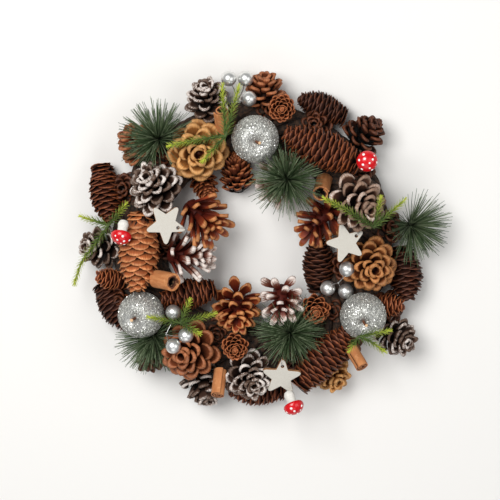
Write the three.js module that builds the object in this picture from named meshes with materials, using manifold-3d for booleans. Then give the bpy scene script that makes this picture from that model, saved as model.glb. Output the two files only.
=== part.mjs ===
// A round wreath of cones, apples, toadstools, stars and greenery, all wired to a ring of twisted vine.
// Millimetres, +Z up. The wreath lies on its back: its front faces up, and the top of its front is +Y.
import * as THREE from "three";
import { mergeVertices } from "three/addons/utils/BufferGeometryUtils.js";
import Module from "manifold-3d";

const wasm = await Module();
wasm.setup();

// Ring of vine
const RING_RADIUS = 109;
const VINE_BREADTH = 23; // half the width of the ring's section
const VINE_DEPTH = 17; // half its height
const VINE_HEIGHT = 14; // of the ring's centre line, so that its underside is cut flat
const VINE_STRANDS = 3;
const VINE_TWISTS = 8;
const RING_STEPS = 32;
const RING_SIDES = 10;

// Seats: what touches keeps this gap, and nothing but the ring reaches the surface
const SEAT_GAP = 0.3;
const SEAT_TOLERANCE = 0.05;
const LOWEST = 1;
const CLEAR_ABOVE = 110; // a piece starts this far out before it is laid on the others
const NEAR = 30; // reach of the search for neighbours
const NUDGE = 2.2; // a cone or an apple rolls aside in steps of this while that lets it sink
const NUDGE_LIMIT = 7;
const NUDGE_WAYS = 8;
const LEAST_SINK = 0.8;

// The front is designed as it is seen from a little above its own axis
const VIEW_TILT = THREE.MathUtils.degToRad(11);
const VIEW_DISTANCE = 1500;
const VIEW_HEIGHT = 40;

// Scales of the cones
const SCALE_THICKNESS = 2.2;
const SCALE_ROOT = 3;
const WIDE_CONE = 49; // wider ones have one more scale in a row
const CONE_PEG = 2.2; // radius of the wire twist that holds two cones of a bunch together

// Apples, toadstools, stars, pearls, cinnamon
const APPLE_RADIUS = 21.5;
const APPLE_SIDES = 14;
const APPLE_STEM = 1.5;
const CAP_RADIUS = 9.8;
const STALK_RADIUS = 5;
const STALK_LENGTH = 13;
const STAR_REACH = 19.5;
const STAR_WAIST = 9.6;
const STAR_THICKNESS = 3.6;
const STAR_HOLE = 1.6;
const STAR_HOLE_PLACE = 11.8;
const PEARL_RADIUS = 6.8;
const WIRE_RADIUS = 0.7;
const KNOT_RADIUS = 1.4;
const BARK_THICKNESS = 1.6;

// Greenery
const TUFT_CORE = 5;
const TWIG_RADIUS = 1.7;
const TWIG_SIDES = 5;
const TWIG_FOOT = 2.4;
const MOST_LIFT = 60; // how far a joint rises to clear the rest
const MOST_BEND = 22; // and how far a finger of fir then bends up
const FINGER_RADIUS = 7;
const FINGER_ROW = 7;
const FINGER_POINTS = 5;
const FINGER_BARE = 9; // bare twig next to the joint
const LONGEST_NEEDLE = 38;
const SHORTEST_NEEDLE = 9;

const paint = (color, roughness, metalness = 0) =>
  new THREE.MeshStandardMaterial({ color, roughness, metalness });

const VINE = paint(0x5b4331, 0.9);
const SPRUCE_BROWN = paint(0x9a5c36, 0.75);
const SPRUCE_DARK = paint(0x54331f, 0.8);
const PINE_TAN = paint(0xb08558, 0.8);
const PINE_FROST = paint(0x8c7c70, 0.85);
const PINE_BROWN = paint(0x96603c, 0.8);
const GLITTER = paint(0xc4c4be, 0.35, 0.8);
const CAP_RED = paint(0xd0121f, 0.35);
const STALK_WHITE = paint(0xd8d4cc, 0.7);
const STAR_WHITE = paint(0xd2ccc2, 0.8);
const PEARL = paint(0xb8b8b6, 0.3, 0.8);
const BARK = paint(0xb8764a, 0.8);
const NEEDLE_GREEN = paint(0x2f4f2c, 0.7);
const FIR_GREEN = paint(0x7d9a36, 0.7);

// Directions of the front as it is seen, and the point that it is seen from
const RIGHT = new THREE.Vector3(1, 0, 0);
const UP = new THREE.Vector3(0, Math.cos(VIEW_TILT), -Math.sin(VIEW_TILT));
const TOWARD = new THREE.Vector3(0, Math.sin(VIEW_TILT), Math.cos(VIEW_TILT));
const AIM = new THREE.Vector3(0, 0, VIEW_HEIGHT);
const EYE = AIM.clone().addScaledVector(TOWARD, VIEW_DISTANCE);

// Cones, low ones first: name, shape, place, pose, size and look. The place is the middle on the front, as
// seen: right and up of the centre. The pose is the angle that the tip points to, from the right, and how far
// it lifts towards the viewer. The size is length, width and rows of scales. Cones of a bunch share a name.
const CONES = [
  ["cone_rim_left", "open", [-154, -2], [180, 50], [34, 42, 3], PINE_FROST],
  ["cone_rim_upper_left", "closed", [-137, 47], [-80, 10], [56, 38, 7], SPRUCE_BROWN],
  ["cone_rim_top_left", "open", [-108, 96], [135, 40], [36, 44, 3], PINE_BROWN],
  ["cone_rim_top_frosted", "open", [-43, 133], [100, 55], [36, 43, 3], PINE_FROST],
  ["cones_rim_top", "open", [12, 147], [90, 40], [36, 43, 3], PINE_BROWN],
  ["cones_rim_top", "open", [26, 130], [-90, 80], [22, 28, 2], PINE_BROWN],
  ["cones_rim_top_right", "closed", [65, 129], [157, 5], [48, 34, 6], SPRUCE_DARK],
  ["cones_rim_top_right", "open", [110, 108], [45, 40], [36, 43, 3], SPRUCE_DARK],
  ["cones_rim_right", "closed", [154, -29], [-83, 5], [52, 42, 6], SPRUCE_DARK],
  ["cones_rim_right", "closed", [133, -53], [-2, 15], [28, 27, 4], SPRUCE_DARK],
  ["cones_rim_right", "open", [138, -84], [-30, 50], [34, 42, 3], PINE_FROST],
  ["cone_rim_bottom_right", "open", [84, -136], [-55, 50], [34, 42, 3], PINE_TAN],
  ["cones_rim_bottom", "closed", [5, -151], [180, 5], [56, 38, 7], SPRUCE_BROWN],
  ["cones_rim_bottom", "open", [50, -150], [-60, 60], [20, 21, 2], SPRUCE_BROWN],
  ["cone_rim_bottom_left", "open", [-49, -148], [-72, 30], [36, 45, 3], PINE_FROST],
  ["cone_rim_lower_left", "open", [-104, -116], [-130, 35], [36, 42, 3], SPRUCE_DARK],
  ["cones_rim_lower_left", "closed", [-141, -64], [-58, 5], [52, 40, 6], SPRUCE_DARK],
  ["cones_rim_lower_left", "closed", [-139, -37], [166, 20], [26, 25, 4], SPRUCE_DARK],
  ["cones_hole_top", "closed", [-13, 63], [96, 40], [44, 36, 6], PINE_TAN],
  ["cones_hole_top", "closed", [-36, 46], [-66, 45], [34, 29, 4], PINE_TAN],
  ["cone_hole_top_right", "open", [25, 61], [-90, 50], [38, 48, 4], PINE_FROST],
  ["cone_hole_right", "open", [64, 23], [225, 30], [44, 48, 4], PINE_TAN],
  ["cones_hole_lower_right", "closed", [65, -25], [90, 10], [52, 37, 7], SPRUCE_DARK],
  ["cones_hole_lower_right", "open", [60, -61], [-90, 75], [24, 31, 3], SPRUCE_BROWN],
  ["cone_hole_bottom_frosted", "open", [28, -54], [-90, 50], [38, 46, 4], PINE_FROST],
  ["cone_hole_bottom", "open", [-12, -67], [-90, 55], [42, 52, 4], PINE_BROWN],
  ["cone_hole_lower_left", "closed", [-55, -48], [190, 5], [52, 36, 7], SPRUCE_BROWN],
  ["cones_hole_left", "open", [-60, -10], [0, 35], [44, 49, 4], PINE_TAN],
  ["cones_hole_left", "open", [-49, 31], [-45, 30], [44, 50, 4], PINE_TAN],
  ["cone_left", "closed", [-106, -8], [-93, 0], [76, 46, 9], SPRUCE_BROWN],
  ["cone_frosted_left", "open", [-95, 55], [128, 60], [42, 52, 4], PINE_FROST],
  ["cone_top_tan", "open", [-53, 87], [-60, 80], [44, 59, 5], PINE_TAN],
  ["cone_top_right", "closed", [65, 92], [157, 0], [77, 44, 9], SPRUCE_BROWN],
  ["cone_frosted_right", "open", [103, 45], [-33, 60], [42, 55, 4], PINE_FROST],
  ["cone_right_tan", "open", [113, -20], [-61, 75], [42, 54, 4], PINE_TAN],
  ["cone_lower_right", "closed", [68, -107], [48, 0], [74, 43, 9], SPRUCE_BROWN],
  ["cones_bottom", "open", [-2, -126], [-61, 65], [40, 50, 4], PINE_FROST],
  ["cones_bottom", "open", [-16, -97], [-90, 80], [24, 28, 2], PINE_FROST],
  ["cone_lower_left", "open", [-54, -102], [207, 70], [42, 57, 4], PINE_BROWN],
].map(([name, shape, at, [angle, lift], [length, width, rows], look]) => ({
  name,
  shape,
  at,
  angle,
  lift,
  length,
  width,
  rows,
  look,
}));

const APPLES = [
  { name: "apple_top", at: [3, 101], angle: -78, lift: 75 },
  { name: "apple_left", at: [-105, -63], angle: 232, lift: 55 },
  { name: "apple_right", at: [99, -67], angle: -98, lift: 70 },
];

const BARKS = [
  { name: "cinnamon_top", at: [-28, 119], angle: 98, lift: 50, length: 26, width: 15 },
  { name: "cinnamon_right", at: [67, 55], angle: -108, lift: 58, length: 26, width: 17 },
  { name: "cinnamon_left", at: [-83, -34], angle: -10, lift: 50, length: 26, width: 18 },
  { name: "cinnamon_bottom", at: [-31, -131], angle: -98, lift: 28, length: 26, width: 15 },
  { name: "cinnamon_lower_right", at: [100, -107], angle: -60, lift: 30, length: 22, width: 14 },
];

const STARS = [
  { name: "star_left", at: [-82, 20], angle: -35, lift: 76, tip: -18 },
  { name: "star_right", at: [89, 2], angle: -35, lift: 78, tip: 34 },
  { name: "star_bottom", at: [28, -125], angle: -90, lift: 66, tip: 86 },
];

const TOADSTOOLS = [
  { name: "toadstool_left", at: [-124, 10], angle: -98, lift: 25 },
  { name: "toadstool_right", at: [109, 80], angle: -70, lift: 72 },
  { name: "toadstool_bottom", at: [39, -152], angle: -68, lift: 25 },
];

const SPRAYS = [
  { name: "pearls_top", root: [-14, 136], level: 24, pearls: [[-22, 158], [-6, 158], [-3, 139]] },
  { name: "pearls_right", root: [82, -36], pearls: [[90, -23], [72, -41], [89, -44]] },
  { name: "pearls_lower_left", root: [-82, -85], pearls: [[-75, -64], [-63, -86], [-75, -96]] },
];

// Fir: each finger is a list of points as seen, from the joint outwards, and how far its tip rises
const SPRIGS = [
  {
    name: "fir_top",
    at: [-25, 104],
    raise: 26,
    fingers: [
      { path: [[-28, 149]], rise: -16 },
      { path: [[-13, 148]], rise: 4 },
      { path: [[-50, 100], [-76, 95]], rise: 4 },
      { path: [[-45, 82]], rise: 4 },
    ],
  },
  {
    name: "fir_left",
    at: [-136, 19],
    raise: 8,
    fingers: [
      { path: [[-121, 37]], rise: 8 },
      { path: [[-160, 26]], rise: -8 },
      { path: [[-147, 4], [-161, -15], [-168, -34]], rise: -12 },
    ],
  },
  {
    name: "fir_right",
    at: [116, 17],
    raise: 26,
    fingers: [
      { path: [[92, 32], [71, 43]], rise: 6 },
      { path: [[122, 42]], rise: 6 },
      { path: [[143, 41]], rise: -6 },
    ],
  },
  {
    name: "fir_lower_left",
    at: [-68, -74],
    raise: 24,
    fingers: [
      { path: [[-38, -66]], rise: 4 },
      { path: [[-60, -55]], rise: 6 },
      { path: [[-52, -83]], rise: 2 },
      { path: [[-95, -69]], rise: 6 },
    ],
  },
  {
    name: "fir_lower_right",
    at: [101, -87],
    raise: 9,
    fingers: [
      { path: [[94, -98]], rise: 0 },
      { path: [[113, -92], [124, -100]], rise: -4 },
      { path: [[128, -82]], rise: -2 },
    ],
  },
];

// Pine: place, how far its joint stands off its foot, and its lean. It spreads round the lean by a half angle.
const TUFTS = [
  { name: "pine_tuft_top", at: [33, 62], raise: 12, angle: -90, lift: 80, spread: 88 },
  { name: "pine_tuft_bottom", at: [36, -83], raise: 14, angle: 90, lift: 82, spread: 88 },
  { name: "pine_tuft_right", at: [128, 15], reach: [22, 4], raise: 6, angle: -25, lift: 40, spread: 75 },
  { name: "pine_tuft_lower_left", at: [-92, -86], raise: 12, angle: -110, lift: 50, spread: 80 },
  { name: "pine_tuft_upper_left", at: [-88, 100], raise: 12, angle: 130, lift: 55, spread: 80 },
];

// A repeatable draw between 0 and 1
let seed = 20;
function draw() {
  seed = (seed * 16807) % 2147483647;
  return seed / 2147483647;
}

// The point that is seen at right, up on the front, and lies nearer the viewer by the given distance
function seenAt([right, up], nearer = 0) {
  const spot = AIM.clone().addScaledVector(RIGHT, right).addScaledVector(UP, up);
  const towardEye = EYE.clone().sub(spot).normalize();
  return spot.addScaledVector(towardEye, nearer);
}

// A direction of the front: angle from the right, lift towards the viewer, both in degrees
function facing(angle, lift) {
  const a = THREE.MathUtils.degToRad(angle);
  const l = THREE.MathUtils.degToRad(lift);
  return new THREE.Vector3()
    .addScaledVector(RIGHT, Math.cos(a) * Math.cos(l))
    .addScaledVector(UP, Math.sin(a) * Math.cos(l))
    .addScaledVector(TOWARD, Math.sin(l));
}

// The turn that brings local +Z onto a direction
function turnTo(direction) {
  return new THREE.Quaternion().setFromUnitVectors(new THREE.Vector3(0, 0, 1), direction);
}

function solidFrom(points, triangles) {
  const mesh = new wasm.Mesh({
    numProp: 3,
    vertProperties: new Float32Array(points.flat()),
    triVerts: new Uint32Array(triangles.flat()),
  });
  return new wasm.Manifold(mesh);
}

function solidOf(geometry) {
  const bare = geometry.clone();
  bare.deleteAttribute("normal");
  bare.deleteAttribute("uv");
  const merged = mergeVertices(bare, 1e-3);
  const mesh = new wasm.Mesh({
    numProp: 3,
    vertProperties: new Float32Array(merged.attributes.position.array),
    triVerts: new Uint32Array(merged.index.array),
  });
  return new wasm.Manifold(mesh);
}

function geometryOf(solid) {
  const mesh = solid.getMesh();
  const geometry = new THREE.BufferGeometry();
  geometry.setAttribute("position", new THREE.BufferAttribute(mesh.vertProperties, 3));
  geometry.setIndex(new THREE.BufferAttribute(mesh.triVerts, 1));
  return geometry;
}

function moved(solid, position, turn = new THREE.Quaternion()) {
  const matrix = new THREE.Matrix4().compose(position, turn, new THREE.Vector3(1, 1, 1));
  return solid.transform(matrix.elements);
}

function joined(solids) {
  return solids.reduce((whole, solid) => whole.add(solid));
}

// One closed skin through rings of points round the Z axis, from foot to tip. A ring is a list of
// [angle, radius, height], and two rings next to each other may have different numbers of points.
function ringPoint([angle, radius, height]) {
  return [radius * Math.cos(angle), radius * Math.sin(angle), height];
}

function stitch(triangles, low, lowFirst, high, highFirst) {
  const turned = (ring, i) => ring[i % ring.length][0] + (i >= ring.length ? 2 * Math.PI : 0);
  let i = 0;
  let j = 0;
  while (i < low.length || j < high.length) {
    const a = lowFirst + (i % low.length);
    const b = highFirst + (j % high.length);
    const lowNext = i < low.length ? turned(low, i + 1) : Infinity;
    const highNext = j < high.length ? turned(high, j + 1) : Infinity;
    if (lowNext <= highNext) {
      i += 1;
      triangles.push([a, lowFirst + (i % low.length), b]);
    } else {
      j += 1;
      triangles.push([a, highFirst + (j % high.length), b]);
    }
  }
}

// n points evenly round the axis
function evenRing(count, phase, radius, height) {
  const step = (2 * Math.PI) / count;
  return Array.from({ length: count }, (_, k) => [(k + phase) * step, radius, height]);
}

// Spruce cone: rows of overlapping scales, each row half a scale round from the last
function closedCone({ length, width, rows }) {
  const perRow = 7;
  const radius = width / 2;
  const belly = (t) => 0.5 + 0.5 * Math.sin(Math.PI * (0.12 + 0.62 * t)) ** 1.6;
  const outline = (t) => radius * belly(t) * (1 - 0.62 * t ** 2.6);
  const pitch = (length * 0.9) / rows;
  const rings = [];
  for (let row = 0; row < rows; row += 1) {
    const phase = (row % 2) / 2;
    const t = (row + 0.5) / rows;
    const lip = outline(t);
    rings.push(evenRing(perRow, phase + 0.5, lip * 0.8, row * pitch));
    rings.push(evenRing(perRow, phase, lip, row * pitch + pitch * 1.28));
  }
  const points = rings.flat().map(ringPoint);
  const triangles = [];
  for (let k = 0; k + 1 < rings.length; k += 1) {
    stitch(triangles, rings[k], k * perRow, rings[k + 1], (k + 1) * perRow);
  }
  const foot = points.push([0, 0, 0]) - 1;
  const tip = points.push([0, 0, length]) - 1;
  const last = (rings.length - 1) * perRow;
  for (let k = 0; k < perRow; k += 1) {
    const next = (k + 1) % perRow;
    triangles.push([foot, next, k], [last + k, last + next, tip]);
  }
  return solidFrom(points, triangles);
}

// Pine cone: rows of scales that stand out from a core, flatter at the foot and steeper at the tip
function openCone({ length, width, rows }) {
  const perRow = width > WIDE_CONE ? 7 : 6;
  const step = (2 * Math.PI) / perRow;
  const radius = width / 2;
  const points = [];
  const triangles = [];
  const add = (angle, r, z) => points.push(ringPoint([angle, r, z])) - 1;
  let under = null;
  for (let row = 0; row < rows; row += 1) {
    const t = row / rows;
    const core = radius * (0.36 - 0.2 * t);
    const level = length * (0.06 + 0.74 * t);
    const reach = radius * (1 - 0.72 * t) - core;
    const slope = THREE.MathUtils.degToRad(14 + 52 * t);
    const end = core + reach;
    const endLevel = level + reach * Math.tan(slope);
    const phase = (row % 2) / 2;
    const first = points.length;
    for (let k = 0; k < perRow; k += 1) {
      add((k + phase - 0.5) * step, core, level);
    }
    for (let k = 0; k < perRow; k += 1) {
      add((k + phase - 0.5) * step, core * 0.96, level + SCALE_ROOT);
    }
    for (let k = 0; k < perRow; k += 1) {
      const next = (k + 1) % perRow;
      const [lowA, lowB] = [first + k, first + next];
      const [highA, highB] = [lowA + perRow, lowB + perRow];
      const chin = add((k + phase) * step, end, endLevel);
      const left = add((k + phase - 0.29) * step, end * 0.98, endLevel + SCALE_THICKNESS);
      const right = add((k + phase + 0.29) * step, end * 0.98, endLevel + SCALE_THICKNESS);
      triangles.push([lowA, chin, left], [lowA, left, highA], [lowB, highB, right], [lowB, right, chin]);
      triangles.push([highA, left, right], [highA, right, highB], [chin, right, left]);
      triangles.push([lowB, chin, lowA]);
    }
    const low = evenRing(perRow, phase - 0.5, core, level);
    if (under === null) {
      const foot = add(0, 0, level - 1);
      low.forEach((_, k) => triangles.push([foot, first + ((k + 1) % perRow), first + k]));
    } else {
      stitch(triangles, under.ring, under.first, low, first);
    }
    under = { ring: low, first: first + perRow };
  }
  const tip = add(0, 0, length);
  under.ring.forEach((_, k) => triangles.push([under.first + k, under.first + ((k + 1) % perRow), tip]));
  return solidFrom(points, triangles);
}

function coneSolid(cone) {
  const solid = cone.shape === "open" ? openCone(cone) : closedCone(cone);
  return solid.translate([0, 0, -cone.length / 2]);
}

// A lathe round local Z, whose profile is a list of [radius, height] from the axis to the axis
function latheSolid(profile, sides) {
  const geometry = new THREE.LatheGeometry(
    profile.map(([r, z]) => new THREE.Vector2(r, z)),
    sides,
  );
  geometry.rotateX(Math.PI / 2);
  return solidOf(geometry);
}

// A tube of constant section along a list of points
function wireSolid(points, radius, sides = 4) {
  const outline = new THREE.Shape();
  for (let k = 0; k < sides; k += 1) {
    const angle = (2 * Math.PI * k) / sides;
    const [x, y] = [radius * Math.cos(angle), radius * Math.sin(angle)];
    if (k === 0) {
      outline.moveTo(x, y);
    } else {
      outline.lineTo(x, y);
    }
  }
  const straight = points.length === 2;
  const path = straight ? new THREE.LineCurve3(...points) : new THREE.CatmullRomCurve3(points);
  const steps = straight ? 1 : 4 * (points.length - 1);
  return solidOf(new THREE.ExtrudeGeometry(outline, { steps, extrudePath: path, bevelEnabled: false }));
}

const APPLE_OUTLINE = [
  [0, -0.8],
  [0.32, -0.9],
  [0.76, -0.68],
  [1, -0.1],
  [0.94, 0.42],
  [0.66, 0.82],
  [0.36, 0.9],
  [0.1, 0.64],
  [0, 0.6],
];

function appleSolid() {
  const body = latheSolid(
    APPLE_OUTLINE.map(([r, z]) => [r * APPLE_RADIUS, z * APPLE_RADIUS]),
    APPLE_SIDES,
  );
  const stem = wireSolid(
    [
      new THREE.Vector3(0, 0, APPLE_RADIUS * 0.5),
      new THREE.Vector3(0.6, 0.4, APPLE_RADIUS * 0.95),
      new THREE.Vector3(2.6, 1.2, APPLE_RADIUS * 1.28),
    ],
    APPLE_STEM,
    5,
  );
  return body.add(stem);
}

// The cap's rim is at local height 0 and its crown points to +Z
function capSolid() {
  const r = CAP_RADIUS;
  return latheSolid(
    [
      [0, 0],
      [r * 0.86, -r * 0.08],
      [r, r * 0.1],
      [r * 0.93, r * 0.42],
      [r * 0.7, r * 0.72],
      [r * 0.36, r * 0.9],
      [0, r * 0.96],
    ],
    14,
  );
}

function stalkSolid() {
  const r = STALK_RADIUS;
  const top = -STALK_RADIUS * 0.08 - SEAT_GAP;
  return latheSolid(
    [
      [0, top - STALK_LENGTH],
      [r * 0.8, top - STALK_LENGTH],
      [r * 1.05, top - STALK_LENGTH * 0.75],
      [r * 0.8, top],
      [0, top],
    ],
    10,
  );
}

// A five-pointed star with round tips, its hole in the tip that points to local +X
function starSolid() {
  const outline = new THREE.Shape();
  const at = (radius, angle) => [radius * Math.cos(angle), radius * Math.sin(angle)];
  const fifth = (2 * Math.PI) / 5;
  outline.moveTo(...at(STAR_WAIST, -fifth / 2));
  for (let k = 0; k < 5; k += 1) {
    const angle = k * fifth;
    outline.lineTo(...at(STAR_REACH * 0.88, angle - 0.13));
    outline.quadraticCurveTo(...at(STAR_REACH * 1.06, angle), ...at(STAR_REACH * 0.88, angle + 0.13));
    outline.lineTo(...at(STAR_WAIST, angle + fifth / 2));
  }
  const hole = new THREE.Path();
  hole.absarc(STAR_HOLE_PLACE, 0, STAR_HOLE, 0, 2 * Math.PI, true);
  outline.holes.push(hole);
  const geometry = new THREE.ExtrudeGeometry(outline, {
    depth: STAR_THICKNESS,
    curveSegments: 4,
    bevelEnabled: false,
  });
  geometry.translate(0, 0, -STAR_THICKNESS / 2);
  return solidOf(geometry);
}

// A quill of bark: one sheet rolled from both edges to a double scroll, extruded along local Z
function barkSolid({ length, width }) {
  const radius = width / 2;
  const steps = 12;
  const outer = [];
  const inner = [];
  for (let k = 0; k <= steps; k += 1) {
    const t = k / steps;
    const angle = Math.PI * (0.15 + 2.45 * t);
    const r = radius * (1 - 0.5 * t);
    outer.push([r * Math.cos(angle), r * Math.sin(angle)]);
    const within = r - BARK_THICKNESS;
    inner.unshift([within * Math.cos(angle), within * Math.sin(angle)]);
  }
  const outline = new THREE.Shape([...outer, ...inner].map(([x, y]) => new THREE.Vector2(x, y)));
  const geometry = new THREE.ExtrudeGeometry(outline, { depth: length, steps: 1, bevelEnabled: false });
  geometry.translate(0, 0, -length / 2);
  return solidOf(geometry);
}

// A ball of triangles, each of which may be drawn out to the point of a needle
function tuftSolid(centre, wanted) {
  const ball = new THREE.IcosahedronGeometry(TUFT_CORE, 2);
  ball.deleteAttribute("normal");
  ball.deleteAttribute("uv");
  const merged = mergeVertices(ball, 1e-3);
  const place = merged.attributes.position;
  const points = [];
  for (let k = 0; k < place.count; k += 1) {
    points.push([place.getX(k) + centre.x, place.getY(k) + centre.y, place.getZ(k) + centre.z]);
  }
  const triangles = [];
  for (let k = 0; k < merged.index.count; k += 3) {
    const corners = [0, 1, 2].map((c) => merged.index.getX(k + c));
    const tip = wanted(corners.map((c) => points[c]));
    if (tip === null) {
      triangles.push(corners);
    } else {
      const apex = points.push(tip) - 1;
      corners.forEach((corner, c) => triangles.push([corner, corners[(c + 1) % 3], apex]));
    }
  }
  return solidFrom(points, triangles);
}

// A finger of fir: rows of needle points round a twig that follows a curve
function fingerSolid(points) {
  const curve = new THREE.CatmullRomCurve3(points);
  const length = curve.getLength();
  const rows = Math.max(3, Math.round((length - FINGER_BARE) / FINGER_ROW));
  const turn = new THREE.Quaternion();
  const skinPoints = [];
  const triangles = [];
  const ring = (t, phase, radius) => {
    const centre = curve.getPointAt(Math.min(t, 1));
    turn.copy(turnTo(curve.getTangentAt(Math.min(t, 1))));
    for (let k = 0; k < FINGER_POINTS; k += 1) {
      const angle = (2 * Math.PI * (k + phase)) / FINGER_POINTS;
      const spoke = new THREE.Vector3(Math.cos(angle), Math.sin(angle), 0).applyQuaternion(turn);
      skinPoints.push(centre.clone().addScaledVector(spoke, radius).toArray());
    }
  };
  const bare = FINGER_BARE / length;
  for (let row = 0; row < rows; row += 1) {
    const t = bare + ((1 - bare) * row) / rows;
    const swell = FINGER_RADIUS * (1 - 0.4 * t ** 2);
    ring(row === 0 ? 0 : t, (row % 2) / 2 + 0.5, TWIG_RADIUS);
    ring(Math.min(1, t + 1.1 / rows), (row % 2) / 2, swell);
  }
  const n = FINGER_POINTS;
  for (let k = 0; k + 1 < 2 * rows; k += 1) {
    const low = evenRing(n, 0.5 * (k % 2 ? (k >> 1) % 2 : ((k >> 1) % 2) + 1), 1, 0);
    const next = k + 1;
    const high = evenRing(n, 0.5 * (next % 2 ? (next >> 1) % 2 : ((next >> 1) % 2) + 1), 1, 0);
    stitch(triangles, low, k * n, high, next * n);
  }
  const foot = skinPoints.push(points[0].toArray()) - 1;
  const end = curve.getPointAt(1).addScaledVector(curve.getTangentAt(1), FINGER_ROW * 0.6);
  const tip = skinPoints.push(end.toArray()) - 1;
  const last = (2 * rows - 1) * n;
  for (let k = 0; k < n; k += 1) {
    triangles.push([foot, (k + 1) % n, k], [last + k, last + ((k + 1) % n), tip]);
  }
  return solidFrom(skinPoints, triangles);
}

// Everything laid so far
const laid = [];

function clearance(solid, reach = NEAR) {
  const box = solid.boundingBox();
  let least = reach;
  for (const other of laid) {
    const apart = [0, 1, 2].some(
      (axis) => other.box.min[axis] - box.max[axis] > least || box.min[axis] - other.box.max[axis] > least,
    );
    if (!apart) {
      least = Math.min(least, solid.minGap(other.solid, least));
    }
  }
  return least;
}

// Slides a solid until it lies the seat gap off what is there, or reaches its last allowed step
function slid(solid, direction, farthest) {
  let here = solid;
  let travelled = 0;
  while (travelled < farthest) {
    const step = Math.min(clearance(here) - SEAT_GAP, farthest - travelled);
    if (step < SEAT_TOLERANCE) {
      return { solid: here, travelled, touching: true };
    }
    travelled += step;
    here = here.translate(direction.clone().multiplyScalar(step).toArray());
  }
  return { solid: here, travelled, touching: clearance(here) < SEAT_GAP + 2 * SEAT_TOLERANCE };
}

// A piece that touches is lifted a little, moved aside and let down again, as long as it comes to lie lower
function settled(seat, sight) {
  let best = seat;
  const aside = new THREE.Vector3();
  for (let found = true; found; ) {
    found = false;
    const from = best;
    for (let k = 0; k < NUDGE_WAYS; k += 1) {
      const angle = (2 * Math.PI * k) / NUDGE_WAYS;
      const step = RIGHT.clone().multiplyScalar(NUDGE * Math.cos(angle));
      step.addScaledVector(UP, NUDGE * Math.sin(angle));
      const away = aside.clone().add(step);
      const high = step.clone().addScaledVector(sight, -NUDGE);
      const start = from.solid.translate(high.toArray());
      const room = (start.boundingBox().min[2] - LOWEST) / -sight.z;
      if (away.length() > NUDGE_LIMIT || clearance(start, SEAT_GAP * 2) < SEAT_GAP) {
        continue;
      }
      const down = slid(start, sight, Math.min(room, NEAR));
      const sunk = from.depth + down.travelled - NUDGE;
      if (down.touching && sunk > best.depth + LEAST_SINK) {
        const offset = from.offset.clone().add(high).addScaledVector(sight, down.travelled);
        best = { solid: down.solid, offset, depth: sunk, away };
        found = true;
      }
    }
    if (found) {
      aside.copy(best.away);
    }
  }
  return best;
}

// Lays a solid on the others along the line of sight, so that it is seen where it should be. One that finds
// nothing before the surface is pushed level towards the ring until it touches.
function lay(solid, spot, loose = false) {
  const start = seenAt(spot, CLEAR_ABOVE);
  const sight = start.clone().sub(EYE).normalize();
  const high = moved(solid, start);
  const drop = (high.boundingBox().min[2] - LOWEST) / -sight.z;
  const down = slid(high, sight, drop);
  const offset = start.clone().addScaledVector(sight, down.travelled);
  if (down.touching) {
    const seat = { solid: down.solid, offset, depth: 0 };
    return loose ? settled(seat, sight) : seat;
  }
  const level = new THREE.Vector3(offset.x, offset.y, 0);
  const inwards = level.clone().normalize();
  if (level.length() > RING_RADIUS) {
    inwards.negate();
  }
  const push = slid(down.solid, inwards, 60);
  return { solid: push.solid, offset: offset.addScaledVector(inwards, push.travelled) };
}

// Lets a solid down the line of sight to a level of the front, or until it lies on something
function lowered(solid, spot, level) {
  const start = seenAt(spot, CLEAR_ABOVE);
  const sight = start.clone().sub(EYE).normalize();
  const down = slid(moved(solid, start), sight, CLEAR_ABOVE - level);
  return { solid: down.solid, offset: start.addScaledVector(sight, down.travelled) };
}

const wreath = new THREE.Group();
wreath.name = "wreath";

// Adds a solid that is in its place: its mesh gets the place as its position and turn
function keep(name, solid, position, turn, material) {
  laid.push({ name, solid, box: solid.boundingBox() });
  const back = new THREE.Matrix4().compose(position, turn, new THREE.Vector3(1, 1, 1)).invert();
  const mesh = new THREE.Mesh(geometryOf(solid.transform(back.elements)), material);
  mesh.name = name;
  mesh.position.copy(position);
  mesh.quaternion.copy(turn);
  wreath.add(mesh);
}

function addRing() {
  const points = [];
  const triangles = [];
  for (let i = 0; i < RING_STEPS; i += 1) {
    const around = (2 * Math.PI * i) / RING_STEPS;
    for (let j = 0; j < RING_SIDES; j += 1) {
      const turn = (2 * Math.PI * j) / RING_SIDES;
      const ridge = Math.cos(VINE_STRANDS * turn + VINE_TWISTS * around);
      const swell = 1 + 0.1 * ridge;
      const out = RING_RADIUS + VINE_BREADTH * swell * Math.cos(turn);
      const height = VINE_HEIGHT + VINE_DEPTH * swell * Math.sin(turn);
      points.push([out * Math.cos(around), out * Math.sin(around), Math.max(0, height)]);
      const nextI = ((i + 1) % RING_STEPS) * RING_SIDES;
      const nextJ = (j + 1) % RING_SIDES;
      const [a, b] = [i * RING_SIDES + j, i * RING_SIDES + nextJ];
      const [c, d] = [nextI + j, nextI + nextJ];
      triangles.push([a, c, d], [a, d, b]);
    }
  }
  keep("vine_ring", solidFrom(points, triangles), new THREE.Vector3(), new THREE.Quaternion(), VINE);
}

// Cones that share a name lie against each other and are held by a twist of wire
function addCones() {
  const bunches = new Map();
  CONES.forEach((cone) => bunches.set(cone.name, [...(bunches.get(cone.name) ?? []), cone]));
  for (const [name, cones] of bunches) {
    const turn = turnTo(facing(cones[0].angle, cones[0].lift));
    const seats = [];
    for (const cone of cones) {
      const turned = moved(coneSolid(cone), new THREE.Vector3(), turnTo(facing(cone.angle, cone.lift)));
      const seat = lay(turned, cone.at, true);
      seats.push(seat);
      laid.push({ name, solid: seat.solid, box: seat.solid.boundingBox() });
    }
    laid.length -= seats.length;
    const parts = seats.map((seat) => seat.solid);
    if (seats.length > 1) {
      parts.push(wireSolid(seats.map((seat) => seat.offset), CONE_PEG));
    }
    keep(name, joined(parts), seats[0].offset, turn, cones[0].look);
  }
}

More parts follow.
